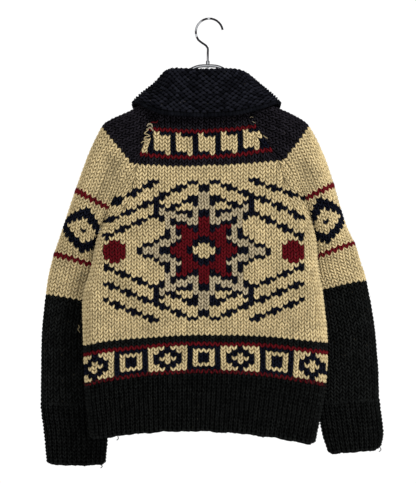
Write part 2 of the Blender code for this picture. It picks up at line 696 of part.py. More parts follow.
# ------------------------------------------------------------------ collar
def collar_guides(side, along):
    """The fold's top and the flap's free edge at a share of the half neckline."""
    table = COLLAR_LEFT if side == "left" else COLLAR_RIGHT
    places = [row[0] for row in table.values()]
    level = float(np.interp(along, places, range(len(places))))
    row = read_row(table, COLLAR_COLUMNS, level)
    fold = np.array((row["fold_x"], row["fold_y"], row["fold_z"]))
    edge = np.array((row["edge_x"], row["edge_y"], row["edge_z"]))
    return fold, edge


def collar_section(frame, fold, edge):
    """The closed outline of the collar's wall at one station: up the stand, over and down the flap."""
    point, normal, away = frame
    foot = point - normal * KNIT_WALL / 2 + away * COLLAR_SEAM
    reach = unit(np.array((edge[0] - fold[0], edge[1] - fold[1], 0.0)))
    up = np.array((0.0, 0.0, 1.0))
    inner = fold - reach * FOLD_REACH - up * FOLD_DROP
    outer = fold + reach * FOLD_REACH - up * FOLD_DROP
    flap = (outer + edge) / 2 + (reach + up) * FLAP_BULGE
    line = [foot, foot + (inner - foot) * STAND_SHARE, inner, fold, outer, flap, edge]
    hollow, face = [], []
    for i, place in enumerate(line):
        run = line[min(i + 1, len(line) - 1)] - line[max(i - 1, 0)]
        run_out, run_up = float(np.dot(run, reach)), float(run[2])
        length = math.hypot(run_out, run_up)
        turned = (reach * run_up - up * run_out) / length
        half = COLLAR_WALL / 2
        if i == 0:
            turned, half = normal, KNIT_WALL / 2
        elif i == 1:
            turned, half = unit(normal + turned), (KNIT_WALL + COLLAR_WALL) / 4
        hollow.append(place + turned * half)
        face.append(place - turned * half)
    return hollow + face[::-1]


def make_collar(front_left, sleeve_left, back, sleeve_right, front_right):
    """Sweep the collar's section round the neckline, from one front end to the other."""
    left_half = [merge_frames(front_left[-1], sleeve_left[0])]
    left = front_left[:-1] + left_half + sleeve_left[1:-1] + [merge_frames(sleeve_left[-1], back[0])]
    right = [merge_frames(back[-1], sleeve_right[-1])] + sleeve_right[-2:0:-1]
    right += [merge_frames(sleeve_right[0], front_right[-1])] + front_right[-2::-1]
    stations = left + back[1:-1] + right
    lengths = [0.0]
    for before, after in zip(stations, stations[1:]):
        lengths.append(lengths[-1] + float(np.linalg.norm(after[0] - before[0])))
    middle = lengths[-1] / 2
    vertices, faces = [], []
    for frame, length in zip(stations, lengths):
        side = "left" if length <= middle else "right"
        fold, edge = collar_guides(side, abs(length - middle) / middle)
        vertices += [tuple(place * MM) for place in collar_section(frame, fold, edge)]
    count = len(vertices) // len(stations)
    for i in range(len(stations) - 1):
        for k in range(count):
            a, b = i * count + k, i * count + (k + 1) % count
            faces.append([a, b, b + count, a + count])
    half = count // 2
    for start in (0, len(vertices) - count):
        for k in range(half - 1):
            faces.append([start + k, start + k + 1, start + count - 2 - k, start + count - 1 - k])
    make_object("collar", vertices, faces, BLACK_WOOL)


def merge_frames(first, second):
    """One station where two pieces of the neckline meet."""
    return tuple(unit(a + b) if k else (a + b) / 2 for k, (a, b) in enumerate(zip(first, second)))


# --------------------------------------------------------------------- zip
def front_level_at(z):
    """The body level whose front middle lies at a height."""
    low, high = float(NECK_LEVEL), float(BODY_END_LEVEL)
    for _ in range(40):
        middle = (low + high) / 2
        if body_point(-1, middle, ZIP_X)[2] > z:
            low = middle
        else:
            high = middle
    return (low + high) / 2


def front_y(z):
    """The front's outer face beside the zip at a height."""
    return body_point(-1, front_level_at(z), ZIP_X)[1]


ZIP_TOP_Z = SLIDER_Z + SLIDER_HEIGHT / 2


def zip_strip(name, x_low, x_high, y_outer, thickness, z_top, z_low, finish):
    """A strip that follows the front from z_top to z_low, y_outer behind its outer face."""
    cells = max(1, round((z_top - z_low) / ZIP_STEP))
    vertices, faces = [], []
    for k in range(cells + 1):
        z = z_top + (z_low - z_top) * k / cells
        y = front_y(z) + y_outer
        for x, depth in ((x_low, y), (x_high, y), (x_high, y + thickness), (x_low, y + thickness)):
            vertices.append((x * MM, depth * MM, z * MM))
    for k in range(cells):
        for c in range(4):
            a, b = 4 * k + c, 4 * k + (c + 1) % 4
            faces.append([a, b, b + 4, a + 4])
    faces.append([0, 1, 2, 3])
    faces.append([4 * cells + c for c in (3, 2, 1, 0)])
    make_object(name, vertices, faces, finish)


def make_zip():
    tape_back = KNIT_WALL + BODY_CROWN * 0.1 + SEAM_GAP
    for side, sign in (("left", 1.0), ("right", -1.0)):
        low, high = sorted((ZIP_X + sign * TAPE_INNER, ZIP_X + sign * TAPE_OUTER))
        zip_strip("zip_tape_" + side, low, high, tape_back, TAPE_THICK,
                  ZIP_TOP_Z + TAPE_OVERHANG, ZIP_LOW_Z - TAPE_OVERHANG, TAPE_CLOTH)
    zip_strip("zip_chain", ZIP_X - CHAIN_WIDTH / 2, ZIP_X + CHAIN_WIDTH / 2, CHAIN_SET_BACK,
              CHAIN_THICK, ZIP_TOP_Z, ZIP_LOW_Z, BRASS)
    box_front = front_y(ZIP_LOW_Z - ZIP_BOX_HEIGHT / 2) + ZIP_BOX_SET_BACK
    box_top = ZIP_LOW_Z - SEAM_GAP
    box = make_object("zip_box", *box_mesh(
        (ZIP_X - ZIP_BOX_WIDTH / 2, box_front, box_top - ZIP_BOX_HEIGHT),
        (ZIP_X + ZIP_BOX_WIDTH / 2, box_front + ZIP_BOX_DEPTH, box_top)), BRASS)
    add_bevel(box, 0.5)
    make_slider()


def make_slider():
    """The slider's face plate with the bridge that traps the pull tab."""
    plate_back = front_y(SLIDER_Z) + SLIDER_SET_BACK
    plate_front = plate_back - SLIDER_THICK
    half_width, half_height = SLIDER_WIDTH / 2, SLIDER_HEIGHT / 2
    slider = make_object("zip_slider", *box_mesh(
        (ZIP_X - half_width, plate_front, SLIDER_Z - half_height),
        (ZIP_X + half_width, plate_back, SLIDER_Z + half_height)), BRASS)
    add_bevel(slider, 0.7)
    bridge_front = plate_front - BRIDGE_REACH
    half_bridge = BRIDGE_HEIGHT / 2
    bridge = make_object("bridge_body", *box_mesh(
        (ZIP_X - BRIDGE_WIDTH / 2, bridge_front, SLIDER_Z - half_bridge),
        (ZIP_X + BRIDGE_WIDTH / 2, plate_front + BRIDGE_ROOT, SLIDER_Z + half_bridge)), BRASS)
    add_bevel(bridge, 0.6)
    join_with(slider, bridge, "UNION")
    half_eye = half_bridge - BRIDGE_BAR
    eye = make_object("bridge_eye", *box_mesh(
        (ZIP_X - SLIDER_WIDTH, bridge_front + BRIDGE_BAR, SLIDER_Z - half_eye),
        (ZIP_X + SLIDER_WIDTH, plate_front - 0.05, SLIDER_Z + half_eye)), BRASS)
    join_with(slider, eye, "DIFFERENCE")
    make_pull(plate_front - (BRIDGE_REACH - BRIDGE_BAR) / 2)


def make_pull(axis_y):
    """The pull tab hangs from its top bar, which turns under the slider's bridge."""
    bar = BRIDGE_BAR
    top = SLIDER_Z + bar / 2
    pull = make_object("zip_pull", *box_mesh(
        (ZIP_X - PULL_WIDTH / 2, axis_y - PULL_THICK / 2, top - PULL_LENGTH),
        (ZIP_X + PULL_WIDTH / 2, axis_y + PULL_THICK / 2, top)), BRASS)
    add_bevel(pull, 0.35)
    eye = make_object("pull_eye", *box_mesh(
        (ZIP_X - PULL_EYE_WIDTH / 2, axis_y - PULL_THICK, top - bar - PULL_EYE_LENGTH),
        (ZIP_X + PULL_EYE_WIDTH / 2, axis_y + PULL_THICK, top - bar)), BRASS)
    join_with(pull, eye, "DIFFERENCE")


# ------------------------------------------------------------------ hanger
def arm_path(side):
    """The hanger's arm under the sleeve top's outer fold, from the neck to its tip."""
    sign = 1.0 if side == "left" else -1.0
    drop = KNIT_WALL + SEAM_GAP + ARM_CLEARANCE + ARM_TUBE_RADIUS
    path = []
    for level in np.linspace(NECK_LEVEL, ARM_TIP_LEVEL, 12):
        ring, ahead = sleeve_row(side, level), sleeve_row(side, level + 0.05)
        run = unit(np.array((ahead["out_x"] - ring["out_x"], 0.0, ahead["out_z"] - ring["out_z"])))
        down = np.array((run[2], 0.0, -run[0])) * sign
        path.append(np.array((ring["out_x"], 0.0, ring["out_z"])) + down * drop)
    return path


def smooth_path(points, step):
    """Points about step mm apart on a smooth curve through the given ones."""
    path = []
    for i in range(len(points) - 1):
        count = max(1, round(float(np.linalg.norm(points[i + 1] - points[i])) / step))
        path += [spline(points, i + k / count) for k in range(count)]
    return path + [np.array(points[-1], dtype=float)]


def flat_points(points):
    """Points of (x, z) in the hanger's plane as points in space."""
    return [np.array((x, 0.0, z)) for x, z in points]


def make_hanger():
    points = arm_path("left")[::-1] + flat_points(HUMP_POINTS) + arm_path("right")
    make_object("hanger_arms", *tube_mesh(smooth_path(points, 9.0), ARM_TUBE_RADIUS), CHROME)

    centre_z = HOOK_WIRE_RADIUS - HOOK_RADIUS
    stem_low = HUMP_TOP_Z + ARM_TUBE_RADIUS + SEAM_GAP
    bow = []
    for degrees in range(HOOK_START_DEGREES, HOOK_END_DEGREES, HOOK_STEP_DEGREES):
        turn = math.radians(degrees)
        bow.append((HOOK_RADIUS * math.cos(turn), centre_z + HOOK_RADIUS * math.sin(turn)))
    wire = flat_points(bow + list(HOOK_NECK_POINTS) + [(HOOK_STEM_X, stem_low)])
    make_object("hanger_hook", *tube_mesh(smooth_path(wire, 5.0), HOOK_WIRE_RADIUS), CHROME)

    bore = HOOK_WIRE_RADIUS + SEAM_GAP
    ferrule_top = stem_low + FERRULE_HEIGHT
    profile = [(bore, stem_low), (FERRULE_RADIUS, stem_low), (FERRULE_RADIUS, ferrule_top - FERRULE_CHAMFER),
               (FERRULE_RADIUS - FERRULE_CHAMFER / 2, ferrule_top), (bore, ferrule_top)]
    make_object("hanger_ferrule", *turned_mesh(profile, HOOK_STEM_X), CHROME)
    nut_top = HUMP_TOP_Z - ARM_TUBE_RADIUS - SEAM_GAP
    nut = make_object("hanger_nut", *box_mesh(
        (HOOK_STEM_X - NUT_WIDTH / 2, -NUT_WIDTH / 2, nut_top - NUT_HEIGHT),
        (HOOK_STEM_X + NUT_WIDTH / 2, NUT_WIDTH / 2, nut_top)), CHROME)
    add_bevel(nut, 0.8)


def main():
    clear_scene()
    back = make_back()
    front_left, front_right = make_front("left"), make_front("right")
    sleeve_left, sleeve_right = make_sleeve("left"), make_sleeve("right")
    make_collar(front_left, sleeve_left, back, sleeve_right, front_right)
    last = -1
    make_hem("hem_back", back_grid, 1, (0, last), False)
    make_hem("hem_front_left", partial(front_grid, "left"), -1, (last,), True)
    make_hem("hem_front_right", partial(front_grid, "right"), -1, (last,), True)
    make_cuff("left")
    make_cuff("right")
    make_zip()
    make_hanger()


main()
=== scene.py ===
"""Looks of the cowichan cardigan on its hanger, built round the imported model.

Every cloth piece is a thin shell on its solid's form with modelled stitches on it.
A panel is a grid of stitch corners: its rows follow the garment's colour bands and
its columns follow the wales. Tables and sizes are in millimetres; the scene is in
metres, +Z up, the garment's front towards -Y.
"""

import math
from collections import namedtuple

import bmesh
import bpy
import numpy as np
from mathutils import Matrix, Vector


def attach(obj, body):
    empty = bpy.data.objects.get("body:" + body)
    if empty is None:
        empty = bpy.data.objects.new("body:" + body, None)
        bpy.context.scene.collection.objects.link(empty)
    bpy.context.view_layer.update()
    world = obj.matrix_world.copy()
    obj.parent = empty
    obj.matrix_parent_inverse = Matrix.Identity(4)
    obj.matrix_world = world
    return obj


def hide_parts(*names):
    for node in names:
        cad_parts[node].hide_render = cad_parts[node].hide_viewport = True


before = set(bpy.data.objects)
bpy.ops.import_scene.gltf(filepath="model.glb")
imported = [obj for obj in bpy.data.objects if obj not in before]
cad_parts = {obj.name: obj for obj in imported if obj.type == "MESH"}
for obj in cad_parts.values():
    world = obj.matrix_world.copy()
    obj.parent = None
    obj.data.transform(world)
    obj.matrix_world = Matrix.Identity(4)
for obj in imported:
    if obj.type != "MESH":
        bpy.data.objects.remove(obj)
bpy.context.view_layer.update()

MM = 0.001
GARMENT = "garment"
SIGN = {"left": 1.0, "right": -1.0}

# --- sizes (mm)
STITCH_WIDTH, STITCH_HEIGHT = 10.35, 6.75
SLEEVE_STITCH_WIDTH, SLEEVE_STITCH_HEIGHT = 11.3, 7.0
COLLAR_BUMP_PITCH, HEM_RIB_PITCH, CUFF_RIB_PITCH = 11.8, 9.2, 9.8
KNIT_SHARE_OF_RIB = 0.68
KNIT_WALL, COLLAR_WALL = 6.0, 8.0
# How deep the backing cloth lies under the form's outer face.
BASE_DEPTH, RIB_BASE_DEPTH = 2.8, 3.4
SIDE_ROUND, OUTER_FOLD_ROUND, INNER_FOLD_ROUND = 34.0, 34.0, 30.0
OUTER_FOLD_SHARE, INNER_FOLD_SHARE = 0.56, 0.32
BODY_CROWN = 3.0
CREASE_SHADE, CREASE_SHADE_RANGE = 0.045, (0.6, 1.1)
# Free edges: waves of (length, phase, depth), and how far corners round up.
EDGE_WAVES = ((41.0, 1.0, 0.7), (17.3, 2.2, 0.5), (67.0, 0.4, 0.5), (7.1, 0.0, 0.3))
HEM_CORNER, CUFF_CORNER = 13.0, 10.0
CORNER_RISE, EDGE_DROP = 6.5, 1.5
FOLD_RADIUS = 7.6
FOLD_REACH, FOLD_DROP = 0.92 * FOLD_RADIUS, 0.62 * FOLD_RADIUS
FLAP_BULGE = 1.5
ZIP_X, FRONT_EDGE, FRONT_NECK_LEVEL = 8.0, 5.6, 1.35
CHAIN_WIDTH, CHAIN_THICK, CHAIN_SET_BACK = 5.0, 3.4, 1.5
ZIP_TOP_Z, ZIP_LOW_Z = -229.5, -752.0

# How many points the smooth lines have before they are cut into stitches.
LEVEL_SAMPLES, BODY_SAMPLES, SLEEVE_SAMPLES, COLLAR_SAMPLES, ZIP_SAMPLES = 240, 161, 81, 61, 500
NECK_SAMPLES = {"front": 12, "shoulder": 20, "back": 24, "round": 400}
TINY, SEAM_REACH = 1e-9, 1e-6

# --- garment tables
# The same tables as the solids'. A level is a row number of BODY_ROWS, or of a sleeve's cap and tube.
BODY_COLUMNS = ("x_left", "z_left", "x_right", "z_right", "arch", "back", "front", "seam")
BODY_ROWS = {
    "neck":         (93.1, -149.3, -66, -147.4, -2.7, 20, 20, 90),
    "yoke_red_top": (112.5, -202.9, -87.3, -197.4, -6.4, 22, 21, 90),
    "yoke_red_low": (129.1, -248.3, -116, -239.9, -10.6, 24, 22, 88),
    "yoke_end":     (143.9, -267.7, -138.2, -260.3, -6.5, 25, 22, 84),
    "raglan_low":   (165.2, -306.5, -162.2, -297.3, -5.6, 27, 22.5, 70),
    "raglan_red":   (186.5, -349.1, -178.9, -332.4, -2.8, 29, 23, 44),
    "underarm":     (200.4, -382.4, -192.8, -378.7, 0.9, 30, 23, 0),
    "chest":        (209.6, -408.3, -198.7, -410.1, 2.8, 31, 23, 0),
    "ribs":         (220.2, -461.9, -202.2, -461.9, 5.5, 32, 23, 0),
    "waist":        (235, -513.7, -211.3, -511.9, 8.3, 33, 23, 0),
    "low":          (233.7, -602.5, -219.6, -598.8, 16.6, 33, 23, 0),
    "hem_top":      (230.9, -678.4, -215.9, -680.2, 25, 32, 23, 0),
    "hem_low":      (220.7, -778.3, -196.5, -788.5, 22, 30, 22, 0),
}
YOKE_RED_TOP, YOKE_RED_LOW, YOKE_END, UNDERARM, LOW_BAND, HEM_TOP, HEM_LOW = 1, 2, 3, 6, 10, 11, 12

SLEEVE_COLUMNS = ("out_x", "out_y", "out_z", "in_x", "in_y", "in_z", "back_y", "front_y")
SLEEVE_CAP = {
    "left": ((96.8, 0, -127.1, 20, -20), (139.3, 0, -163.5, 22, -21),
             (183.7, 0, -184.5, 24, -23), (199.4, -1, -198.3, 26, -27),
             (223.5, -5, -247.3, 28, -37), (248.5, -14, -315.8, 28, -50),
             (262.3, -22, -356.5, 22, -60)),
    "right": ((-69.7, 0, -127.1, 20, -20), (-112.3, 0, -155.4, 22, -21),
              (-158.5, 0, -177.1, 24, -23), (-185.6, -1, -197.4, 26, -27),
              (-212, -5, -249.2, 28, -36), (-230.8, -14, -304.7, 28, -48),
              (-246, -22, -355.6, 22, -59)),
}
SLEEVE_TUBE = {
    "left": ((273.4, -28, -389.8, 209, -24, -413.8, 8, -68),
             (288.2, -36, -433.3, 198.5, -40, -459.2, -14, -73),
             (298.4, -43, -471.2, 187.4, -49, -495.2, -25, -76),
             (304.3, -49, -509.1, 185.6, -52, -528.5, -28.5, -77),
             (311.4, -52, -574.8, 186.5, -52, -587.7, -29, -77),
             (313.2, -50, -648.8, 188.3, -50, -656.2, -28, -74),
             (313.2, -47, -715.4, 190.2, -47, -718.2, -27, -69),
             (306.7, -45, -769, 188.3, -45, -770.9, -26.5, -65),
             (301.6, -44, -824.9, 192.7, -44, -825.3, -25, -63)),
    "right": ((-257.5, -28, -387.9, -191.5, -24, -413.8, 8, -67),
              (-272.3, -36, -418.5, -184.4, -40, -450.8, -14, -72),
              (-281.6, -43, -449, -171.5, -49, -480.4, -25, -75),
              (-292.3, -48, -482.3, -173.3, -51, -508.2, -28.5, -75),
              (-306.5, -50, -560, -182.6, -50, -578.5, -28, -74),
              (-313.9, -46, -637.7, -193.7, -46, -648.8, -24, -69),
              (-316.7, -40, -708, -201.1, -40, -715.4, -19, -61),
              (-323.2, -36, -765.3, -208.5, -36, -765.3, -17, -55),
              (-318.6, -34, -795.9, -220.5, -34, -805.1, -15, -53)),
}
SLEEVE_YOKE_END, SLEEVE_RED_TOP, SLEEVE_RED_LOW, SLEEVE_BLACK, CUFF_TOP, CUFF_LOW = 3, 5, 8, 10, 13, 15

# Soft creases: (panel, face, x and z of both ends, half width, depth).
FOLDS = (
    ("body", 1, 176, -470, 120, -560, 20, -3.5),
    ("body", 1, 150, -455, 95, -600, 18, 2),
    ("body", 1, -150, -500, -105, -600, 22, -2),
    ("body", -1, 150, -350, 70, -470, 20, -3),
    ("body", -1, -140, -360, -60, -500, 22, -3),
    ("body", -1, 120, -560, 90, -650, 20, -2.5),
    ("body", 1, 158, -272, 184, -350, 10, -2.5),
    ("body", 1, -168, -282, -188, -350, 10, -2.5),
    ("left", 1, 168, -258, 190, -352, 13, -4),
    ("left", 1, 182, -262, 214, -338, 11, -5),
    ("left", -1, 180, -262, 215, -350, 13, -4),
    ("left", -1, 215, -470, 262, -560, 14, -3.5),
    ("right", 1, -176, -262, -198, -330, 11, -5),
    ("right", -1, -176, -265, -200, -340, 13, -4),
    ("right", -1, -205, -455, -255, -560, 14, -3.5),
)

# The collar: (share of the half neckline, x y z of the fold's top, x y z of the flap's edge).
COLLAR = {
    "left": ((0.00, 5, 21, -95.5, 4, 40, -182), (0.17, 44, 21, -94, 53, 40, -180),
             (0.33, 74, 14, -95, 95, 37.6, -174), (0.46, 86, -2, -111, 141, 3, -154.2),
             (0.60, 84, -22, -122, 131, -44, -186),
             (0.76, 60, -31, -154, 104, -40, -226),
             (0.90, 35, -34, -178, 70, -41, -252),
             (1.00, 19, -35, -192, 32, -41, -256)),
    "right": ((0.00, 5, 21, -95.5, 4, 40, -182), (0.17, -30, 21, -94, -46, 40, -178.5),
              (0.33, -58, 14, -97, -92, 37, -168),
              (0.46, -76, -2, -111, -131, 3, -155),
              (0.60, -68, -22, -122, -119, -44, -186),
              (0.76, -44, -31, -154, -88, -40, -226),
              (0.90, -19, -34, -178, -54, -41, -252),
              (1.00, -3, -35, -192, -16, -41, -256)),
}

# --- yarns, charts
# Linear colours of the yarns.
YARNS = np.array((
    (0.444, 0.354, 0.195),       # cream
    (0.330, 0.274, 0.180),       # grey
    (0.074, 0.0030, 0.0054),     # red
    (0.0054, 0.0059, 0.0057),    # black of the ribs, bands and sleeves
    (0.0040, 0.0046, 0.0085),    # navy
    (0.0085, 0.0075, 0.0098),    # yoke
    (0.0048, 0.0050, 0.0072),    # collar
    (0.060, 0.053, 0.036),       # pale lint
    # The welt's yarn is the collar's, darkened further: painted shade along the collar's lower edge.
    (0.0024, 0.0026, 0.0036),    # the collar's welt
))
CREAM_YARN, GREY_YARN, RED_YARN, BLACK_YARN, NAVY_YARN, YOKE_YARN, COLLAR_YARN, LINT, SHADED_WELT_YARN = range(9)
NO_YARN = -1
DARK_YARNS = (BLACK_YARN, NAVY_YARN, YOKE_YARN, COLLAR_YARN, LINT, SHADED_WELT_YARN)

# One repeat of each small band pattern: a hash is the figure, a dot the ground. The hem's and the
# sleeves' are the same upside down, so only their upper halves and middle rows are written.
YOKE_CHART = ("#...",
              "###.",
              "###.",
              "###.",
              "###.",
              "..#.")
HEM_CHART = ("######...#...",
             "#....#..###..",
             "#.##.#.##.##.",
             "#.##.#.#...#.")
HEM_CHART += HEM_CHART[-2::-1]
SLEEVE_CHART = (".....#......",
                "....###.....",
                "...#####....",
                "..###.###...",
                ".###...###..",
                "###.....###.",
                "##...#...##.")
SLEEVE_CHART += SLEEVE_CHART[-2::-1]


# --- table curves
def spline(rows, level):
    """Catmull-Rom through the rows of a table, read at a fractional row number."""
    rows = np.asarray(rows, dtype=float)
    last = len(rows) - 1
    level = min(max(level, 0.0), float(last))
    start = min(int(level), last - 1)
    t = level - start
    p1, p2 = rows[start], rows[start + 1]
    p0 = rows[start - 1] if start > 0 else 2 * p1 - p2
    p3 = rows[start + 2] if start + 2 <= last else 2 * p2 - p1
    return 0.5 * (2 * p1 + (p2 - p0) * t + (2 * p0 - 5 * p1 + 4 * p2 - p3) * t ** 2
                  + (3 * p1 - p0 - 3 * p2 + p3) * t ** 3)


def body_row(level):
    row = dict(zip(BODY_COLUMNS, spline(list(BODY_ROWS.values()), level)))
    row["seam"] = 0.0 if level >= UNDERARM else min(max(row["seam"], 0.0), 90.0)
    return row


def zip_edge(side):
    """The x of a front's edge beside the zip."""
    return ZIP_X + SIGN[side] * FRONT_EDGE


def sleeve_ring(side, level):
    """A sleeve ring: its folds, the depths of its faces and of its two seams with the body."""
    rings = []
    for index, row in enumerate(SLEEVE_CAP[side]):
        body = body_row(index)
        rings.append(row[:3] + (body["x_" + side], 0.0, body["z_" + side]) + row[3:])
    ring = dict(zip(SLEEVE_COLUMNS, spline(rings + list(SLEEVE_TUBE[side]), level)))
    ring.update(back_seam=0.0, front_seam=0.0)
    if level <= UNDERARM:
        body = body_row(level)
        height = math.sin(math.radians(body["seam"]))
        ring.update(in_x=body["x_" + side], in_y=0.0, in_z=body["z_" + side],
                    back_seam=math.asin(min(1.0, body["back"] * height / ring["back_y"])),
                    front_seam=math.asin(min(1.0, body["front"] * height / -ring["front_y"])))
    return ring


def rounded(distance, radius, seam=0.0):
    """Depth share at distances from an edge that rounds away as an ellipse cut at the seam angle."""
    lead = np.maximum(0.0, math.cos(seam) - distance / radius)
    return np.sqrt(np.maximum(0.0, 1.0 - lead ** 2))


def fold_depth(panel, face, x, z):
    """Sum of the soft creases of a panel at points of its face."""
    total = np.zeros_like(x)
    for fold_panel, fold_face, x0, z0, x1, z1, half_width, depth in FOLDS:
        if fold_panel == panel and fold_face == face:
            run_x, run_z = x1 - x0, z1 - z0
            share = ((x - x0) * run_x + (z - z0) * run_z) / (run_x ** 2 + run_z ** 2)
            share = np.clip(share, 0.0, 1.0)
            away = np.hypot(x - x0 - share * run_x, z - z0 - share * run_z)
            total += depth * np.exp(-(away / half_width) ** 2)
    return total


def edge_rise(level, start, end, x, corner):
    """How far a free edge wavers and its corners round up, none at the top of the ribs."""
    share = min(max((level - start) / (end - start), 0.0), 1.0) ** 2
    waver = sum(depth * np.sin(2.0 * math.pi * x / length + phase) for length, phase, depth in EDGE_WAVES)
    return share * (waver - EDGE_DROP + CORNER_RISE * np.maximum(0.0, 1.0 - corner) ** 2)


def body_line(face, level, x):
    """Outer points of the body at one level: face is 1 on the back and -1 on the front."""
    row = body_row(level)
    across = (x - row["x_right"]) / (row["x_left"] - row["x_right"])
    bow = 1.0 - (2.0 * across - 1.0) ** 2
    z = row["z_right"] + (row["z_left"] - row["z_right"]) * across + row["arch"] * bow
    edge = np.maximum(0.0, np.minimum(row["x_left"] - x, x - row["x_right"]))
    z = z + edge_rise(level, HEM_TOP, HEM_LOW, x, edge / HEM_CORNER)
    depth = row["back" if face > 0 else "front"] * rounded(edge, SIDE_ROUND, math.radians(row["seam"]))
    settle = np.minimum(1.0, edge / SIDE_ROUND)
    depth = depth + (BODY_CROWN * bow + fold_depth("body", face, x, z)) * settle
    return np.stack((x, face * depth, z), axis=-1)


def sleeve_line(side, level, face, share):
    """Outer points of a sleeve ring, share 0 at its outer fold and 1 at its inner fold or seam."""
    ring = sleeve_ring(side, level)
    name = "back" if face > 0 else "front"
    span = math.hypot(ring["in_x"] - ring["out_x"], ring["in_z"] - ring["out_z"])
    outer_round = min(OUTER_FOLD_ROUND, OUTER_FOLD_SHARE * span)
    inner_round = min(INNER_FOLD_ROUND, INNER_FOLD_SHARE * span)
    x, fold_y, z = [ring["out_" + axis] + (ring["in_" + axis] - ring["out_" + axis]) * share
                    for axis in "xyz"]
    z = z + edge_rise(level, CUFF_TOP, CUFF_LOW, x, np.minimum(share, 1.0 - share) * span / CUFF_CORNER)
    full = rounded(share * span, outer_round)
    full = full * rounded((1.0 - share) * span, inner_round, ring[name + "_seam"])
    settle = np.minimum(1.0, np.minimum(2.0 * share, 2.0 * (1.0 - share)))
    y = fold_y + (ring[name + "_y"] - fold_y) * full + face * fold_depth(side, face, x, z) * settle
    return np.stack((x, y, z), axis=-1)


def sleeve_loop(side, level, share):
    """A whole sleeve ring, from the front seam over the outer fold to the back seam."""
    return np.concatenate((sleeve_line(side, level, -1, share[::-1]), sleeve_line(side, level, 1, share[1:])))


# --- lines and rows
def edge_dense(count):
    """Shares from 0 to 1, close together at both ends."""
    return 0.5 - 0.5 * np.cos(np.linspace(0.0, math.pi, count))


def normalise(vectors):
    length = np.linalg.norm(vectors, axis=-1, keepdims=True)
    return vectors / np.maximum(length, TINY)


def lengths_along(line):
    return np.concatenate(((0.0,), np.cumsum(np.linalg.norm(np.diff(line, axis=0), axis=1))))


def read_along(line, places, along):
    """A line's values at some of its lengths, where along holds the lengths of its own points."""
    return np.stack([np.interp(places, along, line[:, axis]) for axis in range(3)], axis=-1)


def resample(line, count):
    """Points evenly spaced along a line."""
    along = lengths_along(line)
    return read_along(line, np.linspace(0.0, along[-1], count), along)


def stitch_rows(point_at, marks, last_level, height=STITCH_HEIGHT, last_rows=None):
    """Levels of the row edges, one stitch apart, and the rows on which the marks fall.

    marks are (level, centred): a centred mark falls on the middle of a row, the
    others on the edge between two rows. last_rows is the number after the last mark.
    """
    levels = np.linspace(marks[0][0], last_level, LEVEL_SAMPLES)
    lengths = lengths_along(np.array([point_at(level) for level in levels]))
    mark_rows, mark_lengths = [0.0], [0.0]
    for level, centred in marks[1:] + ((last_level, False),):
        length = float(np.interp(level, levels, lengths))
        row = mark_rows[-1] + (length - mark_lengths[-1]) / height
        mark_rows.append(math.floor(row) + 0.5 if centred else float(round(row)))
        mark_lengths.append(length)
    if last_rows is not None:
        mark_rows[-1] = mark_rows[-2] + last_rows
    edges = np.interp(np.arange(int(mark_rows[-1]) + 1), mark_rows, mark_lengths)
    return np.interp(edges, lengths, levels), [int(row) for row in mark_rows]


# --- panels
# Shares of a wale: cells narrower than the first have no cloth, cells whose two widths add up to less
# than the second have no stitch, and columns narrower than the third are closed up.
CLOTH_SHARE, STITCH_SHARE, SLIVER_SHARE = 0.05, 0.34, 0.35
BACK_MIDDLE_X = 10.1
BODY_STITCHES, FRONT_STITCHES, SLEEVE_HALF_STITCHES = 48, 24, 14
# How many wales follow a side or seam, below the yoke and in it, and the levels from one to the other.
EDGE_WALES, YOKE_EDGE_WALES, EDGE_WALES_RUN = 3, 1, 1.5
LOW_BAND_ROWS = 11
BODY_MARKS = ((0.0, False), (YOKE_RED_TOP, True), (YOKE_RED_LOW, True), (YOKE_END, False),
              (LOW_BAND, False))
SLEEVE_MARKS = ((0.0, False), (SLEEVE_YOKE_END, False), (SLEEVE_RED_TOP, True), (SLEEVE_RED_LOW, True),
                (SLEEVE_BLACK, False))
# The place of the lower red line among the marks, and how many rows it moves on each sleeve.
SLEEVE_MARK_RED_LOW, RED_LOW_SHIFT = 3, {"left": 0, "right": -1}


def surface_normals(dense, closed):
    """Normals of a dense grid that point away from the middle of the hollow."""
    down = np.gradient(dense, axis=0)
    if closed:
        wrapped = np.concatenate((dense[:, -2:-1], dense, dense[:, 1:2]), axis=1)
        across = (wrapped[:, 2:] - wrapped[:, :-2]) / 2
    else:
        across = np.gradient(dense, axis=1)
    normals = normalise(np.cross(across, down))
    probe = (dense.shape[0] // 2, dense.shape[1] // 4)
    outwards = np.dot(normals[probe], dense[probe] - dense[probe[0]].mean(axis=0)) >= 0
    return normals if outwards else -normals


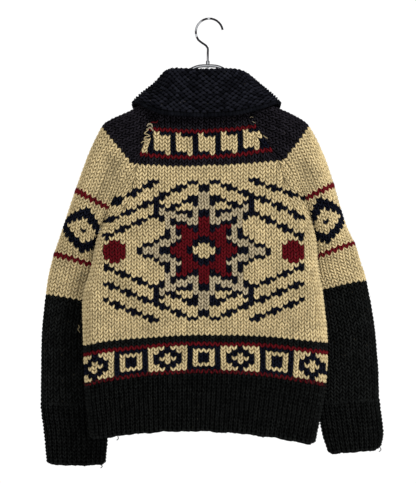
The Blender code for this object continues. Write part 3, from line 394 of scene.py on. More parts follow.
class Panel:
    """Stitch corners on a surface: points and normals by row and column, and which cells exist."""

    def __init__(self, dense, distances, creased=None, closed=False, end_normals=None, wale=STITCH_WIDTH):
        """dense holds points by row and by place across; distances are the column edges along them.

        creased names the panel whose folds shade it. end_normals are the directions
        at each row's two ends, which the piece across the seam shares, so that the
        seam stays shut below the surface.
        """
        points, normals = [], []
        for i, (line, dense_normals) in enumerate(zip(dense, surface_normals(dense, closed))):
            along = lengths_along(line)
            points.append(read_along(line, distances[i], along))
            normals.append(read_along(dense_normals, distances[i], along))
            if end_normals is not None:
                normals[i][distances[i] <= 0.0] = end_normals[i][0]
                normals[i][distances[i] >= along[-1] - SEAM_REACH] = end_normals[i][1]
        self.points, self.normals = np.array(points), normalise(np.array(normals))
        self.creased = creased
        widths = np.diff(distances, axis=1)
        narrow, wide = np.minimum(widths[:-1], widths[1:]), np.maximum(widths[:-1], widths[1:])
        self.cells = wide > CLOTH_SHARE * wale
        self.stitched = narrow + wide > STITCH_SHARE * wale

    def place(self, rows, columns, heights):
        """Points at fractional rows and columns, raised along the normals by heights."""
        i = np.clip(np.floor(rows).astype(int), 0, self.points.shape[0] - 2)
        j = np.clip(np.floor(columns).astype(int), 0, self.points.shape[1] - 2)
        v, u = (rows - i)[..., None], (columns - j)[..., None]
        mixed = []
        for grid in (self.points, self.normals):
            upper, lower = [grid[k, j] * (1 - u) + grid[k, j + 1] * u for k in (i, i + 1)]
            mixed.append(upper * (1 - v) + lower * v)
        return mixed[0] + normalise(mixed[1]) * heights[..., None]


def crease_shade(panel, rows, columns):
    """How light a cell's yarn looks: darker in the creases and lighter on the ridges."""
    if panel.creased is None:
        return np.ones((len(rows), 1))
    i, j = np.maximum(rows, 0).astype(int), columns.astype(int)
    middle = panel.points[i, j]
    back, front = [fold_depth(panel.creased, face, middle[:, 0], middle[:, 2]) for face in (1, -1)]
    depth = np.where(panel.normals[i, j, 1] > 0.0, back, front)
    return np.clip(1.0 + CREASE_SHADE * depth, *CREASE_SHADE_RANGE)[:, None]


def close_up(edges, wale):
    """Column edges with the slivers beside a seam closed, each taken up by its neighbour."""
    edges = edges.copy()
    middle = len(edges) // 2
    for step, run in ((-1, range(middle, 0, -1)), (1, range(middle, len(edges) - 1))):
        for k in run:
            if step * (edges[k + step] - edges[k]) < SLIVER_SHARE * wale:
                edges[k] = edges[k + step]
    return edges


def rib_edges(dense, pitch):
    """Column edges of a rib: a wide knit column and a narrow purl one by turns."""
    lengths = np.array([lengths_along(line)[-1] for line in dense])
    pairs = int(round(lengths[0] / pitch))
    shares = [(pair + part) / pairs for pair in range(pairs) for part in (0.0, KNIT_SHARE_OF_RIB)]
    return lengths[:, None] * np.array(shares + [1.0])


def body_lines(side, levels):
    """Dense points of the rows of the back (side None) or a front, and the directions at their ends."""
    face = 1 if side is None else -1
    share = edge_dense(BODY_SAMPLES)
    flat_out = (0.0, float(face), 0.0)
    lines, ends = [], []
    for level in levels:
        row = body_row(level)
        first, last = row["x_" + (side or "left")], row["x_right"] if side is None else zip_edge(side)
        lines.append(body_line(face, level, first + (last - first) * share))
        outs = [flat_out if level < UNDERARM else (math.copysign(1.0, x), 0.0, 0.0) for x in (first, last)]
        ends.append((outs[0], outs[1] if side is None else flat_out))
    return np.array(lines), ends


def body_panel(side, levels, wale_x):
    """The knit back (side None) or a front, each row from its side or raglan seam.

    The wales stand upright at wale_x, but for a few that follow each side and seam.
    """
    dense, ends = body_lines(side, levels)
    distances = []
    for level, line in zip(levels, dense):
        along = lengths_along(line)
        edge_wales = np.interp(level, (YOKE_END, YOKE_END + EDGE_WALES_RUN), (YOKE_EDGE_WALES, EDGE_WALES))
        border = edge_wales * STITCH_WIDTH
        order = np.argsort(line[:, 0])
        straight = np.interp(wale_x, line[order, 0], along[order])
        straight = np.clip(straight, border, along[-1] - (border if side is None else 0.0))
        for k in range(EDGE_WALES + 1):
            straight[k] = min(k, edge_wales) * STITCH_WIDTH
            if side is None:
                straight[-1 - k] = along[-1] - straight[k]
        distances.append(close_up(straight, STITCH_WIDTH))
    return Panel(dense, np.array(distances), "body", end_normals=ends)


def body_rib_panel(side, levels):
    dense, ends = body_lines(side, levels)
    return Panel(dense, rib_edges(dense, HEM_RIB_PITCH), end_normals=ends, wale=0.5 * HEM_RIB_PITCH)


def sleeve_panel(side, levels, rib_pitch=None):
    """A sleeve, or with a rib pitch a cuff."""
    share = edge_dense(SLEEVE_SAMPLES)
    dense = np.array([sleeve_loop(side, level, share) for level in levels])
    ends = []
    for level in levels:
        ring = sleeve_ring(side, level)
        inward = normalise(np.array((ring["in_x"] - ring["out_x"], 0.0, ring["in_z"] - ring["out_z"])))
        ends.append(((0.0, -1.0, 0.0), (0.0, 1.0, 0.0)) if level < UNDERARM else (inward, inward))
    closed = levels[0] >= UNDERARM
    if rib_pitch is not None:
        return Panel(dense, rib_edges(dense, rib_pitch), side, closed, ends, 0.5 * rib_pitch)
    wales = SLEEVE_STITCH_WIDTH * np.arange(-SLEEVE_HALF_STITCHES, SLEEVE_HALF_STITCHES + 1)
    distances = []
    for line in dense:
        along = lengths_along(line)
        edges = np.clip(along[SLEEVE_SAMPLES - 1] + wales, 0.0, along[-1])
        distances.append(close_up(edges, SLEEVE_STITCH_WIDTH))
    return Panel(dense, np.array(distances), side, closed, ends, SLEEVE_STITCH_WIDTH)


# --- collar
COLLAR_ROWS, WELT_ROWS = 36, 2


def collar_guides(side, along):
    """The fold's top and the flap's free edge at a share of the half neckline."""
    table = COLLAR[side]
    row = spline(table, float(np.interp(along, [row[0] for row in table], range(len(table)))))
    return row[1:4], row[4:]


def neck_level(share):
    """The body level of a front's neckline, share 0 at the zip and 1 at the raglan seam."""
    return FRONT_NECK_LEVEL * (1.0 - share ** 2)


def neck_points():
    """Outer points round the neck, from the left front's zip edge over the back to the right front's."""
    halves = []
    for side in SIGN:
        start, half = zip_edge(side), []
        for share in np.linspace(0.0, 1.0, NECK_SAMPLES["front"]):
            level = neck_level(share)
            x = start + (body_row(level)["x_" + side] - start) * share
            half.append(body_line(-1, level, np.array((x,)))[0])
        halves.append(half + list(sleeve_loop(side, 0.0, edge_dense(NECK_SAMPLES["shoulder"]))))
    row = body_row(0.0)
    middle = body_line(1, 0.0, np.linspace(row["x_left"], row["x_right"], NECK_SAMPLES["back"]))
    return np.array(halves[0] + list(middle) + halves[1][::-1])


def collar_panels():
    """The collar's face, from its foot inside the neck over the fold to its edge, and its underside."""
    neck = resample(neck_points(), NECK_SAMPLES["round"])
    columns = int(round(lengths_along(neck)[-1] / COLLAR_BUMP_PITCH))
    up = np.array((0.0, 0.0, 1.0))
    lines = []
    for index, point in enumerate(resample(neck, columns + 1)):
        along = 2.0 * index / columns - 1.0
        fold, edge = collar_guides("left" if along < 0 else "right", abs(along))
        reach = normalise((edge - fold) * (1.0, 1.0, 0.0))
        foot = point - reach * KNIT_WALL / 2
        inner = fold - reach * FOLD_REACH - up * FOLD_DROP
        outer = fold + reach * FOLD_REACH - up * FOLD_DROP
        flap = (outer + edge) / 2 + (reach + up) * FLAP_BULGE
        guide = [foot, foot + (inner - foot) * 0.5, inner, fold, outer, flap, edge]
        curve = np.array([spline(guide, t) for t in np.linspace(0, len(guide) - 1, COLLAR_SAMPLES)])
        lines.append(resample(curve, COLLAR_ROWS + 1))
    middle = np.array(lines).transpose(1, 0, 2)
    normals = surface_normals(middle, False)
    faces = []
    for sign in (1.0, -1.0):
        dense = middle + normals * (COLLAR_WALL / 2) * sign
        panel = Panel(dense, np.array([lengths_along(line) for line in dense]))
        panel.normals = normals * sign
        panel.cells[:] = panel.stitched[:] = True
        faces.append(panel)
    return faces


# --- mesh making
def make_mesh(name, points, faces, materials, indices=None):
    """A mesh object from numpy arrays: points in mm, faces all of one size, and material indices."""
    mesh = bpy.data.meshes.new(name)
    count, size = faces.shape
    mesh.vertices.add(len(points))
    mesh.vertices.foreach_set("co", (points * MM).astype(np.float32).ravel())
    mesh.loops.add(count * size)
    mesh.loops.foreach_set("vertex_index", faces.astype(np.int32).ravel())
    mesh.polygons.add(count)
    mesh.polygons.foreach_set("loop_start", np.arange(0, count * size, size, dtype=np.int32))
    mesh.polygons.foreach_set("use_smooth", np.ones(count, dtype=bool))
    for material in materials:
        mesh.materials.append(material)
    mesh.update(calc_edges=True)
    if indices is not None:
        mesh.polygons.foreach_set("material_index", indices.astype(np.int32))
    item = bpy.data.objects.new(name, mesh)
    bpy.context.scene.collection.objects.link(item)
    return item


def set_colours(item, colours, domain):
    """A colour attribute named Yarn, by point or by corner."""
    layer = item.data.attributes.new("Yarn", "FLOAT_COLOR", domain)
    filled = np.concatenate((colours, np.ones((len(colours), 1))), axis=1)
    layer.data.foreach_set("color", filled.astype(np.float32).ravel())


def set_map(item, name, places):
    """A UV map from one place for each face corner."""
    layer = item.data.uv_layers.new(name=name)
    layer.data.foreach_set("uv", places.astype(np.float32).ravel())


# A small piece of yarn: points at columns and rows in stitches, heights in mm, triangles and a map.
Template = namedtuple("Template", "columns rows heights faces places")
YARN_FOOT = -0.6


def half_round(stations, upright):
    """A half-round Template on stations (along, aside, half width, crest), upright if it runs down a wale."""
    angles = np.radians((-90.0, -45.0, 0.0, 45.0, 90.0))
    along, aside, height, places, rings = [], [], [], [], []
    first_place, last_place = stations[0][0], stations[-1][0]
    for place, middle, half, crest in stations:
        turn = angles if half > 0 else np.zeros(1)
        rings.append(range(len(along), len(along) + len(turn)))
        for a in turn:
            along.append(place)
            aside.append(middle + half * math.sin(a))
            height.append(YARN_FOOT + (crest - YARN_FOOT) * math.cos(a))
            places.append((0.5 + a / math.pi, (place - first_place) / (last_place - first_place)))
    faces = []
    for first, second in zip(rings, rings[1:]):
        for k in range(len(angles) - 1):
            if len(first) == 1:
                faces.append((first[0], second[k], second[k + 1]))
            elif len(second) == 1:
                faces.append((first[k + 1], first[k], second[0]))
            else:
                faces.append((first[k], second[k], second[k + 1]))
                faces.append((first[k], second[k + 1], first[k + 1]))
    rows, columns = (along, aside) if upright else (aside, along)
    return Template(*[np.array(value) for value in (columns, rows, height, faces, places)])


def mirrored(template):
    """The same piece on the other side of the wale's middle."""
    return template._replace(columns=-template.columns, faces=template.faces[:, ::-1])


# (row below the stitch's top, off the wale's middle, half width, crest in mm)
KNIT_LEG = half_round(((1.20, -0.03, 0, 0.3), (1.00, -0.105, 0.150, 2.9), (0.52, -0.240, 0.215, 3.4),
                       (0.04, -0.375, 0.160, 2.0), (-0.28, -0.46, 0, -0.6)), upright=True)
BOLD_LEG = half_round(((1.75, -0.02, 0, 0.4), (1.38, -0.105, 0.180, 3.3), (0.52, -0.240, 0.250, 4.0),
                       (-0.28, -0.375, 0.195, 2.8), (-0.62, -0.46, 0, -0.6)), upright=True)
RIB_LEG = half_round(((1.22, -0.02, 0, 0.6), (0.98, -0.13, 0.18, 3.6), (0.52, -0.28, 0.250, 4.7),
                      (0.08, -0.42, 0.20, 2.8), (-0.28, -0.50, 0, -0.6)), upright=True)
WELT = half_round(((1.00, 0, 0, -0.6), (0.78, 0, 0.28, 2.8), (0.10, 0.02, 0.36, 3.2),
                   (-0.80, 0, 0.28, 2.4), (-1.20, 0, 0, -0.6)), upright=True)
# Its map spans less of the yarn's width, so the painted side shade darkens it less.
WELT = WELT._replace(places=WELT.places * (0.7, 1.0) + (0.15, 0.0))
# (column off the cell's middle, row below the stitch's top, half width, crest in mm)
PURL_BUMP = half_round(((-0.50, 0.5, 0, -0.6), (-0.30, 0.5, 0.30, 0.1), (0, 0.44, 0.36, 0.5),
                        (0.30, 0.5, 0.30, 0.1), (0.50, 0.5, 0, -0.6)), upright=False)
MOSS_BUMP = half_round(((-0.47, 0.72, 0, -0.6), (-0.29, 0.55, 0.62, 2.5), (0, 0.36, 0.88, 3.8),
                        (0.29, 0.55, 0.62, 2.5), (0.47, 0.74, 0, -0.6)), upright=False)
CAST_OFF = half_round(((-0.72, 0.45, 0, -0.6), (-0.35, 0.40, 0.42, 2.6), (0.05, 0.52, 0.52, 3.3),
                       (0.40, 0.62, 0.42, 2.6), (0.72, 0.60, 0, -0.6)), upright=False)


FIBRE_WIDTH, FIBRE_LENGTH, FIBRE_FOOT, FIBRE_PLACE = 0.035, 0.05, 2.2, 0.4


def fibre(lean_column, lean_row, height):
    """A stray fibre: a thin spike that stands out of the yarn and leans."""
    turns = np.radians((0.0, 120.0, 240.0))
    return Template(np.append(FIBRE_WIDTH * np.cos(turns), lean_column),
                    np.append(0.5 + FIBRE_LENGTH * np.sin(turns), 0.5 + lean_row),
                    np.array((FIBRE_FOOT, FIBRE_FOOT, FIBRE_FOOT, height)),
                    np.array(((0, 3, 1), (1, 3, 2), (2, 3, 0), (0, 1, 2))), np.full((4, 2), FIBRE_PLACE))


FIBRES = (fibre(0.5, 0.3, 5.6), fibre(-0.4, -0.3, 6.4), fibre(0.15, -0.6, 5.2), fibre(-0.25, 0.7, 5.8))
FIBRE_SHARE, LINT_SHARE = 0.16, 0.05
# How much pieces of yarn vary one by one, and how far they drift together, in stitches.
SIZE_VARIES, HEIGHT_VARIES, ROW_VARIES, COLUMN_VARIES = 0.14, 0.14, 0.14, 0.06
SHADE_VARIES, DARK_SHADE_VARIES = 0.26, 0.75
ROW_DRIFT, COLUMN_DRIFT, DRIFT_WAVES, DRIFT_LENGTHS = 0.22, 0.14, 5, (4.0, 13.0)
# In the OFBake map a piece of yarn keeps a margin; a cloth's outer face takes the left half, its
# inner face the right half, and its edges one corner.
BAKE_MARGIN, BAKE_FACE, BAKE_INNER, BAKE_EDGES = 0.06, (0.48, 0.98), 0.5, 0.02
SEED_LIMIT, SIDE_MARGIN = 100000, 0.001


def add_fibres(batches, seed):
    """Fibres on some of the cells that the first batch uses, a few of them pale lint."""
    random = np.random.RandomState(seed)
    _, rows, columns, yarns = batches[0]
    added = []
    for spike in FIBRES:
        chosen = random.rand(len(rows)) < FIBRE_SHARE
        tint = np.where(random.rand(len(rows)) < LINT_SHARE, LINT, yarns)
        added.append((spike, rows[chosen], columns[chosen], tint[chosen]))
    return batches + added


def wander(rows, columns, random):
    """A slow drift of the stitches, as in hand knitting, from -1 to 1."""
    drift = np.zeros(len(rows))
    for _ in range(DRIFT_WAVES):
        angle, phase = random.uniform(0.0, 2.0 * math.pi, 2)
        length = random.uniform(*DRIFT_LENGTHS)
        run = (rows * math.cos(angle) + columns * math.sin(angle)) / length
        drift += np.sin(2.0 * math.pi * run + phase) / DRIFT_WAVES
    return drift[:, None]


def lay_yarn(name, panel, batches, seed, base_depth, overhang=0.02, uneven=1.0, start_row=-0.05):
    """One mesh of yarn pieces on a panel.

    batches are (template, rows, columns, yarns): a cell's row and column and its
    yarn for each piece. Sizes and places vary a little, as hand knitting does,
    and more so with uneven above 1.
    """
    random = np.random.RandomState(seed)
    last_row, last_column = panel.points.shape[0] - 1, panel.points.shape[1] - 1
    atlas = max(1, math.ceil(math.sqrt(sum(len(batch[1]) for batch in batches))))
    drift_seed = random.randint(SEED_LIMIT)
    parts, start, cells = [], 0, 0
    for template, rows, columns, yarns in batches:
        count, each = len(rows), len(template.rows)
        slow = np.random.RandomState(drift_seed)

        def varied(share):
            return share * (random.rand(count, 1) - 0.5)

        size = 1.0 + varied(SIZE_VARIES * uneven)
        shift_row = varied(ROW_VARIES * uneven) + ROW_DRIFT * wander(rows, columns, slow)
        shift_column = varied(COLUMN_VARIES * uneven) + COLUMN_DRIFT * wander(rows, columns, slow)
        at_row = np.clip(rows[:, None] + template.rows[None] + shift_row, start_row, last_row + overhang)
        at_column = columns[:, None] + 0.5 + (template.columns[None] * size + shift_column)
        at_column = np.clip(at_column, SIDE_MARGIN, last_column - SIDE_MARGIN)
        lift = template.heights[None] * (1.0 + varied(HEIGHT_VARIES)) - base_depth
        dark = np.isin(yarns, DARK_YARNS)
        shade = 1.0 + varied(np.where(dark, DARK_SHADE_VARIES, SHADE_VARIES)[:, None] * uneven)
        shade = shade * crease_shade(panel, rows, columns)
        corner = template.places[template.faces].reshape(-1, 2)
        number = cells + np.arange(count)
        origin = np.stack((number % atlas, number // atlas), axis=-1)
        bake = (origin[:, None] + BAKE_MARGIN + (1.0 - 2.0 * BAKE_MARGIN) * corner[None]) / atlas
        parts.append((panel.place(at_row, at_column, lift).reshape(-1, 3),
                      (template.faces[None] + start + each * np.arange(count)[:, None, None]).reshape(-1, 3),
                      np.repeat(dark, len(template.faces)), np.repeat(YARNS[yarns] * shade, each, axis=0),
                      bake.reshape(-1, 2), np.tile(corner, (count, 1))))
        start += each * count
        cells += count
    points, faces, dark_faces, colours, bake_map, ply_map = [np.concatenate(part) for part in zip(*parts)]
    item = make_mesh(name, points, faces, STITCH_WOOL, dark_faces)
    set_colours(item, colours, "POINT")
    set_map(item, "OFBake", bake_map)
    set_map(item, "Ply", ply_map)
    return item


def shell(name, panel, yarns, outer_depth, wall):
    """The cloth under the stitches: an outer face, an inner face and its edges, one quad for each cell."""
    rows, columns = panel.cells.shape
    outer = np.arange((rows + 1) * (columns + 1)).reshape(rows + 1, columns + 1)
    inner = outer + outer.size
    i, j = np.nonzero(panel.cells)
    faces = [np.stack((outer[i, j], outer[i, j + 1], outer[i + 1, j + 1], outer[i + 1, j]), axis=-1),
             np.stack((inner[i, j], inner[i + 1, j], inner[i + 1, j + 1], inner[i, j + 1]), axis=-1)]
    owners = [np.stack((i, j), axis=-1)] * 2
    padded = np.pad(panel.cells, 1)
    for di, dj, a, b in ((-1, 0, (0, 0), (0, 1)), (1, 0, (1, 1), (1, 0)),
                         (0, -1, (1, 0), (0, 0)), (0, 1, (0, 1), (1, 1))):
        open_edge = ~padded[i + 1 + di, j + 1 + dj]
        ei, ej = i[open_edge], j[open_edge]
        first, second = (ei + a[0], ej + a[1]), (ei + b[0], ej + b[1])
        faces.append(np.stack((outer[second], outer[first], inner[first], inner[second]), axis=-1))
        owners.append(np.stack((ei, ej), axis=-1))
    faces, owners = np.concatenate(faces), np.concatenate(owners)
    points = np.concatenate([(panel.points - panel.normals * depth).reshape(-1, 3)
                             for depth in (outer_depth, wall)])
    used, compact = np.unique(faces, return_inverse=True)
    yarn = yarns[owners[:, 0], owners[:, 1]]
    inside = np.arange(len(faces)) >= len(i)
    # The outer face takes the gap materials, whose darkened yarn colour is painted shade between the
    # stitches.
    item = make_mesh(name, points[used], compact.reshape(faces.shape), CLOTH_WOOL,
                     2 * inside + np.isin(yarn, DARK_YARNS))
    set_colours(item, np.repeat(YARNS[yarn], 4, axis=0), "CORNER")
    grid_map = owners[:, None, ::-1] + np.array(((0.0, 0.0), (1.0, 0.0), (1.0, 1.0), (0.0, 1.0)))
    set_map(item, "Grid", grid_map.reshape(-1, 2))
    bake = grid_map / (columns, rows) * BAKE_FACE
    bake[len(i):2 * len(i), :, 0] += BAKE_INNER
    bake[2 * len(i):] = bake[2 * len(i):] * BAKE_EDGES + (BAKE_FACE[1], 0.0)
    set_map(item, "OFBake", bake.reshape(-1, 2))
    return item


# --- charts
STAR_TIP, STAR_NOTCH = 121.0, 66.0
STAR_RINGS = ((0.20, CREAM_YARN), (0.32, NAVY_YARN), (0.60, RED_YARN), (0.72, NAVY_YARN), (0.98, GREY_YARN),
              (1.12, NAVY_YARN))
MEDALLION_ROW, MEDALLION_HALF_ROWS, MEDALLION_HALF_COLUMNS = 41.0, 19.0, 18.0
DIAMOND_COLUMN, DIAMOND_HALF_COLUMNS, DIAMOND_HALF_ROWS = 16.0, 2.8, 4.0
CHEVRON_SLOPE = 1.5
YOKE_SHIFT, HEM_SHIFT, SLEEVE_SHIFT = 1, 3, 10
CHEVRON_LINES = ((22.5, 24.6), (29.0, 31.1), (35.5, 37.6))


def star_ratio(x, y):
    """How far out a point lies in an eight-pointed star, 1 on its outline."""
    turn = math.degrees(math.atan2(y, x)) % 45.0
    turn = math.radians(min(turn, 45.0 - turn))
    half_point = math.radians(22.5)
    reach = STAR_TIP * STAR_NOTCH * math.sin(half_point)
    reach /= STAR_NOTCH * math.sin(half_point - turn) + STAR_TIP * math.sin(turn)
    return math.hypot(x, y) / reach


def medallion(row, place):
    """A plain eight-pointed star inside nested diamonds, place counted from the middle of the back."""
    across, down = abs(place + 0.5), row + 0.5 - MEDALLION_ROW
    ratio = star_ratio(across * STITCH_WIDTH, down * STITCH_HEIGHT)
    for limit, yarn in STAR_RINGS:
        if ratio < limit:
            return yarn
    down = abs(down)
    if down > MEDALLION_HALF_ROWS or across > MEDALLION_HALF_COLUMNS:
        return CREAM_YARN
    if abs(across - DIAMOND_COLUMN) / DIAMOND_HALF_COLUMNS + down / DIAMOND_HALF_ROWS < 1.0:
        return RED_YARN
    outside = across + CHEVRON_SLOPE * down
    return NAVY_YARN if any(start <= outside < end for start, end in CHEVRON_LINES) else CREAM_YARN


def charted(chart, row, column, figure, ground):
    return figure if chart[row % len(chart)][column % len(chart[0])] == "#" else ground


def body_yarns(panel, marks, start_x, is_back):
    """The yarn of each cell of a body panel, from its place in upright columns counted from start_x."""
    _, red_top, red_low, yoke_end, low_band, _ = marks
    low_red = low_band + 2
    middle_x = (panel.points[:-1, :-1, 0] + panel.points[1:, 1:, 0]) / 2
    places = np.floor((start_x - middle_x) / STITCH_WIDTH).astype(int)

    def yarn(row, place):
        if row in (red_top, red_low, low_red, len(places) - 1):
            return RED_YARN
        if is_back and red_top < row < red_low:
            return charted(YOKE_CHART, row - red_top - 1, place + YOKE_SHIFT, CREAM_YARN, NAVY_YARN)
        if row < yoke_end:
            return YOKE_YARN
        if row > low_red:
            return charted(HEM_CHART, row - low_red - 1, place + HEM_SHIFT, NAVY_YARN, CREAM_YARN)
        if row >= low_band:
            return BLACK_YARN
        return medallion(row, place) if is_back else CREAM_YARN

    return np.array([[yarn(row, place) for place in line] for row, line in enumerate(places)])


def sleeve_yarns(panel, marks):
    """The yarn of each cell of a sleeve."""
    _, yoke_end, red_top, red_low, black, _ = marks
    rows, columns = panel.cells.shape
    band_start = (red_top + red_low + 1 - len(SLEEVE_CHART)) // 2

    def yarn(row, column):
        if row in (red_top, red_low):
            return RED_YARN
        if row < yoke_end:
            return YOKE_YARN
        if row >= black:
            return BLACK_YARN
        if band_start <= row < band_start + len(SLEEVE_CHART):
            return charted(SLEEVE_CHART, row - band_start, column + SLEEVE_SHIFT, NAVY_YARN, CREAM_YARN)
        return CREAM_YARN

    return np.array([[yarn(row, column) for column in range(columns)] for row in range(rows)])


# --- materials
# Painted shade tints: for the upper end of a yarn that tucks under, and for the sides of light and of dark
# yarns.
END_SHADE_TINT, LIGHT_SIDE_SHADE, DARK_SIDE_SHADE = (0.76, 0.74, 0.68), (0.55, 0.50, 0.38), (0.07, 0.07, 0.07)
LIGHT_GLOSS, DARK_GLOSS = 0.02, 0.004
LIGHT_SPECKLE, DARK_SPECKLE = (0.80, 1.16), (0.45, 1.75)
WOOL_MOTTLE, SPECKLE_SCALE, FUZZ_SCALE = (35.0, 0.86, 1.12), 900.0, 2200.0
WOOL_ROUGHNESS, SHEEN_ROUGHNESS, SHEEN_SHARE = 0.92, 0.6, 0.4
TWIST_SCALES, TWIST_UNEVEN = {"Ply": 1.1, "Grid": 0.5}, 0.8
# Bumps are (distance in metres, strength).
PLY_BUMP, FUZZ_BUMP, BRASS_BUMP, TAPE_BUMP = (0.0006, 0.7), (0.0005, 0.5), (0.0001, 0.25), (0.0002, 0.6)
MOTTLE_DETAIL, FUZZ_DETAIL, MOTTLE_RANGE = 4.0, 3.0, (0.3, 0.7)
BRASS_MOTTLE, POLISH_SCALE, POLISH_DETAIL, POLISH_ROUGHNESS = (200.0, 0.82, 1.1), 600.0, 5.0, (0.245, 0.525)
CHROME_MOTTLE, CHROME_ROUGHNESS, PAINTED_GLINT_CORE = (300.0, 0.9, 1.05), 0.15, 0.6
TAPE_MOTTLE, TAPE_ROUGHNESS, TAPE_WEAVE = (400.0, 0.7, 1.3), 0.85, 350.0
FLOOR_MOTTLE, FLOOR_ROUGHNESS = (3.0, 0.99, 1.01), 0.9
# Painted shade: where along and across a piece of yarn its colour deepens, at its sides and at the upper end
# that tucks under the next piece: (axis, middle, start), to an end at 0.5.
PAINTED_TUCK_SHADES = (("X", 0.5, 0.12), ("Y", 0.35, 0.20))
PAINTED_TUCK_END = 0.5
# The chrome's painted reflection: its dark and light base colours, and the facing at which one turns into the
# other.
CHROME_PAINTED_DARK, CHROME_PAINTED_LIGHT, CHROME_PAINTED_TURN = (0.010, 0.008, 0.011), (0.50, 0.51, 0.53), (0.98, 1.17)
BRASS_COLOUR, TAPE_COLOUR, FLOOR_COLOUR = (0.46, 0.34, 0.16), (0.012, 0.012, 0.014), (0.97, 0.97, 0.97)
# Painted highlights on the hanger's wire, bright spots in its base colour: (x, z, radius, gain).
PAINTED_GLINTS = ((24.0, -9.0, 15.0, 0.27), (1.0, 3.0, 3.5, 0.6), (25.0, -29.5, 4.0, 0.7), (2.0, -64.0, 14.0, 0.03),
          (3.0, -104.0, 42.0, 0.16))


class Nodes:
    """A material's nodes. Each method adds some and returns the output to use."""

    def __init__(self, name):
        self.material = bpy.data.materials.new(name)
        self.material.use_nodes = True
        self.tree = self.material.node_tree

    def feed(self, node, inputs):
        """Set inputs to numbers and colours, or link them to outputs."""
        for key, value in inputs.items():
            if isinstance(value, bpy.types.NodeSocket):
                self.tree.links.new(value, node.inputs[key])
            else:
                node.inputs[key].default_value = value

    def add(self, kind, output, inputs=None, **settings):
        node = self.tree.nodes.new("ShaderNode" + kind)
        for key, value in settings.items():
            setattr(node, key, value)
        self.feed(node, inputs or {})
        return node.outputs[output]

    def finish(self, **inputs):
        """Feed the shader, underscores standing for the spaces in its inputs' names."""
        inputs = {key.replace("_", " "): value for key, value in inputs.items()}
        self.feed(self.tree.nodes["Principled BSDF"], inputs)
        return self.material

    def spread(self, value, start, end, low=0.0, high=1.0, soft=False):
        """A value mapped from between start and end to between low and high."""
        inputs = {"Value": value, "From Min": start, "From Max": end, "To Min": low, "To Max": high}
        return self.add("MapRange", "Result", inputs, interpolation_type="SMOOTHSTEP" if soft else "LINEAR")

    def maths(self, operation, first, second=0.5):
        return self.add("Math", 0, {0: first, 1: second}, operation=operation)

    def mix(self, factor, first, second, blend="MIX"):
        return self.add("Mix", "Result", {"Factor": factor, "A": first, "B": second}, data_type="RGBA",
                        blend_type=blend)

    def noise(self, scale, detail):
        place = self.add("TexCoord", "Object")
        return self.add("TexNoise", "Fac", {"Scale": scale, "Detail": detail, "Vector": place})

    def mottled(self, colour, scale, low, high):
        """A colour multiplied by soft noise between two factors."""
        if not isinstance(colour, bpy.types.NodeSocket):
            colour, plain = self.add("RGB", 0), colour
            colour.default_value = (*plain, 1.0)
        factor = self.spread(self.noise(scale, MOTTLE_DETAIL), *MOTTLE_RANGE, low, high)
        return self.mix(1.0, colour, factor, "MULTIPLY")

    def bump(self, height, distance, strength, before=None):
        inputs = {"Height": height, "Distance": distance, "Strength": strength}
        return self.add("Bump", "Normal", inputs if before is None else {**inputs, "Normal": before})

    def painted_tuck_shade(self, colour, places, side_shade, end_shade):
        """Painted shade: colour that deepens towards yarn's sides and its upper end, which tucks under the
        next piece.
        """
        for (axis, middle, start), tint in zip(PAINTED_TUCK_SHADES, (side_shade, end_shade)):
            place = self.add("SeparateXYZ", axis, {0: places})
            away = self.maths("ABSOLUTE", self.maths("SUBTRACT", place, middle))
            colour = self.mix(self.spread(away, start, PAINTED_TUCK_END, soft=True), colour, (*tint, 1.0), "MULTIPLY")
        return colour


def wool_material(name, ply_map, shade, gloss, speckle=LIGHT_SPECKLE, side_shade=None):
    """Wool yarn: the colour attribute, mottled and scaled by shade, with a twisted ply and a fine fuzz. Given
    a side shade, it takes painted shade towards its sides and the upper end that tucks under.
    """
    nodes = Nodes(name)
    colour = nodes.mottled(nodes.add("Attribute", "Color", attribute_name="Yarn"), *WOOL_MOTTLE)
    colour = nodes.mottled(colour, SPECKLE_SCALE, speckle[0] * shade, speckle[1] * shade)
    places = nodes.add("UVMap", "UV", uv_map=ply_map)
    if side_shade is not None:
        colour = nodes.painted_tuck_shade(colour, places, side_shade, END_SHADE_TINT)
    wave = {"Scale": TWIST_SCALES[ply_map], "Distortion": TWIST_UNEVEN, "Vector": places}
    twist = nodes.add("TexWave", "Fac", wave, bands_direction="DIAGONAL")
    fuzz = nodes.bump(nodes.noise(FUZZ_SCALE, FUZZ_DETAIL), *FUZZ_BUMP, nodes.bump(twist, *PLY_BUMP))
    return nodes.finish(Base_Color=colour, Roughness=WOOL_ROUGHNESS, Specular_IOR_Level=gloss,
                        Sheen_Weight=gloss * SHEEN_SHARE, Sheen_Roughness=SHEEN_ROUGHNESS, Normal=fuzz)


def brass_material():
    """Brass with a mottled polish: fine scratches change its colour and roughness."""
    nodes = Nodes("zip_brass")
    polish = nodes.noise(POLISH_SCALE, POLISH_DETAIL)
    return nodes.finish(Base_Color=nodes.mottled(BRASS_COLOUR, *BRASS_MOTTLE), Metallic=1.0,
                        Roughness=nodes.spread(polish, 0.0, 1.0, *POLISH_ROUGHNESS),
                        Normal=nodes.bump(polish, *BRASS_BUMP))


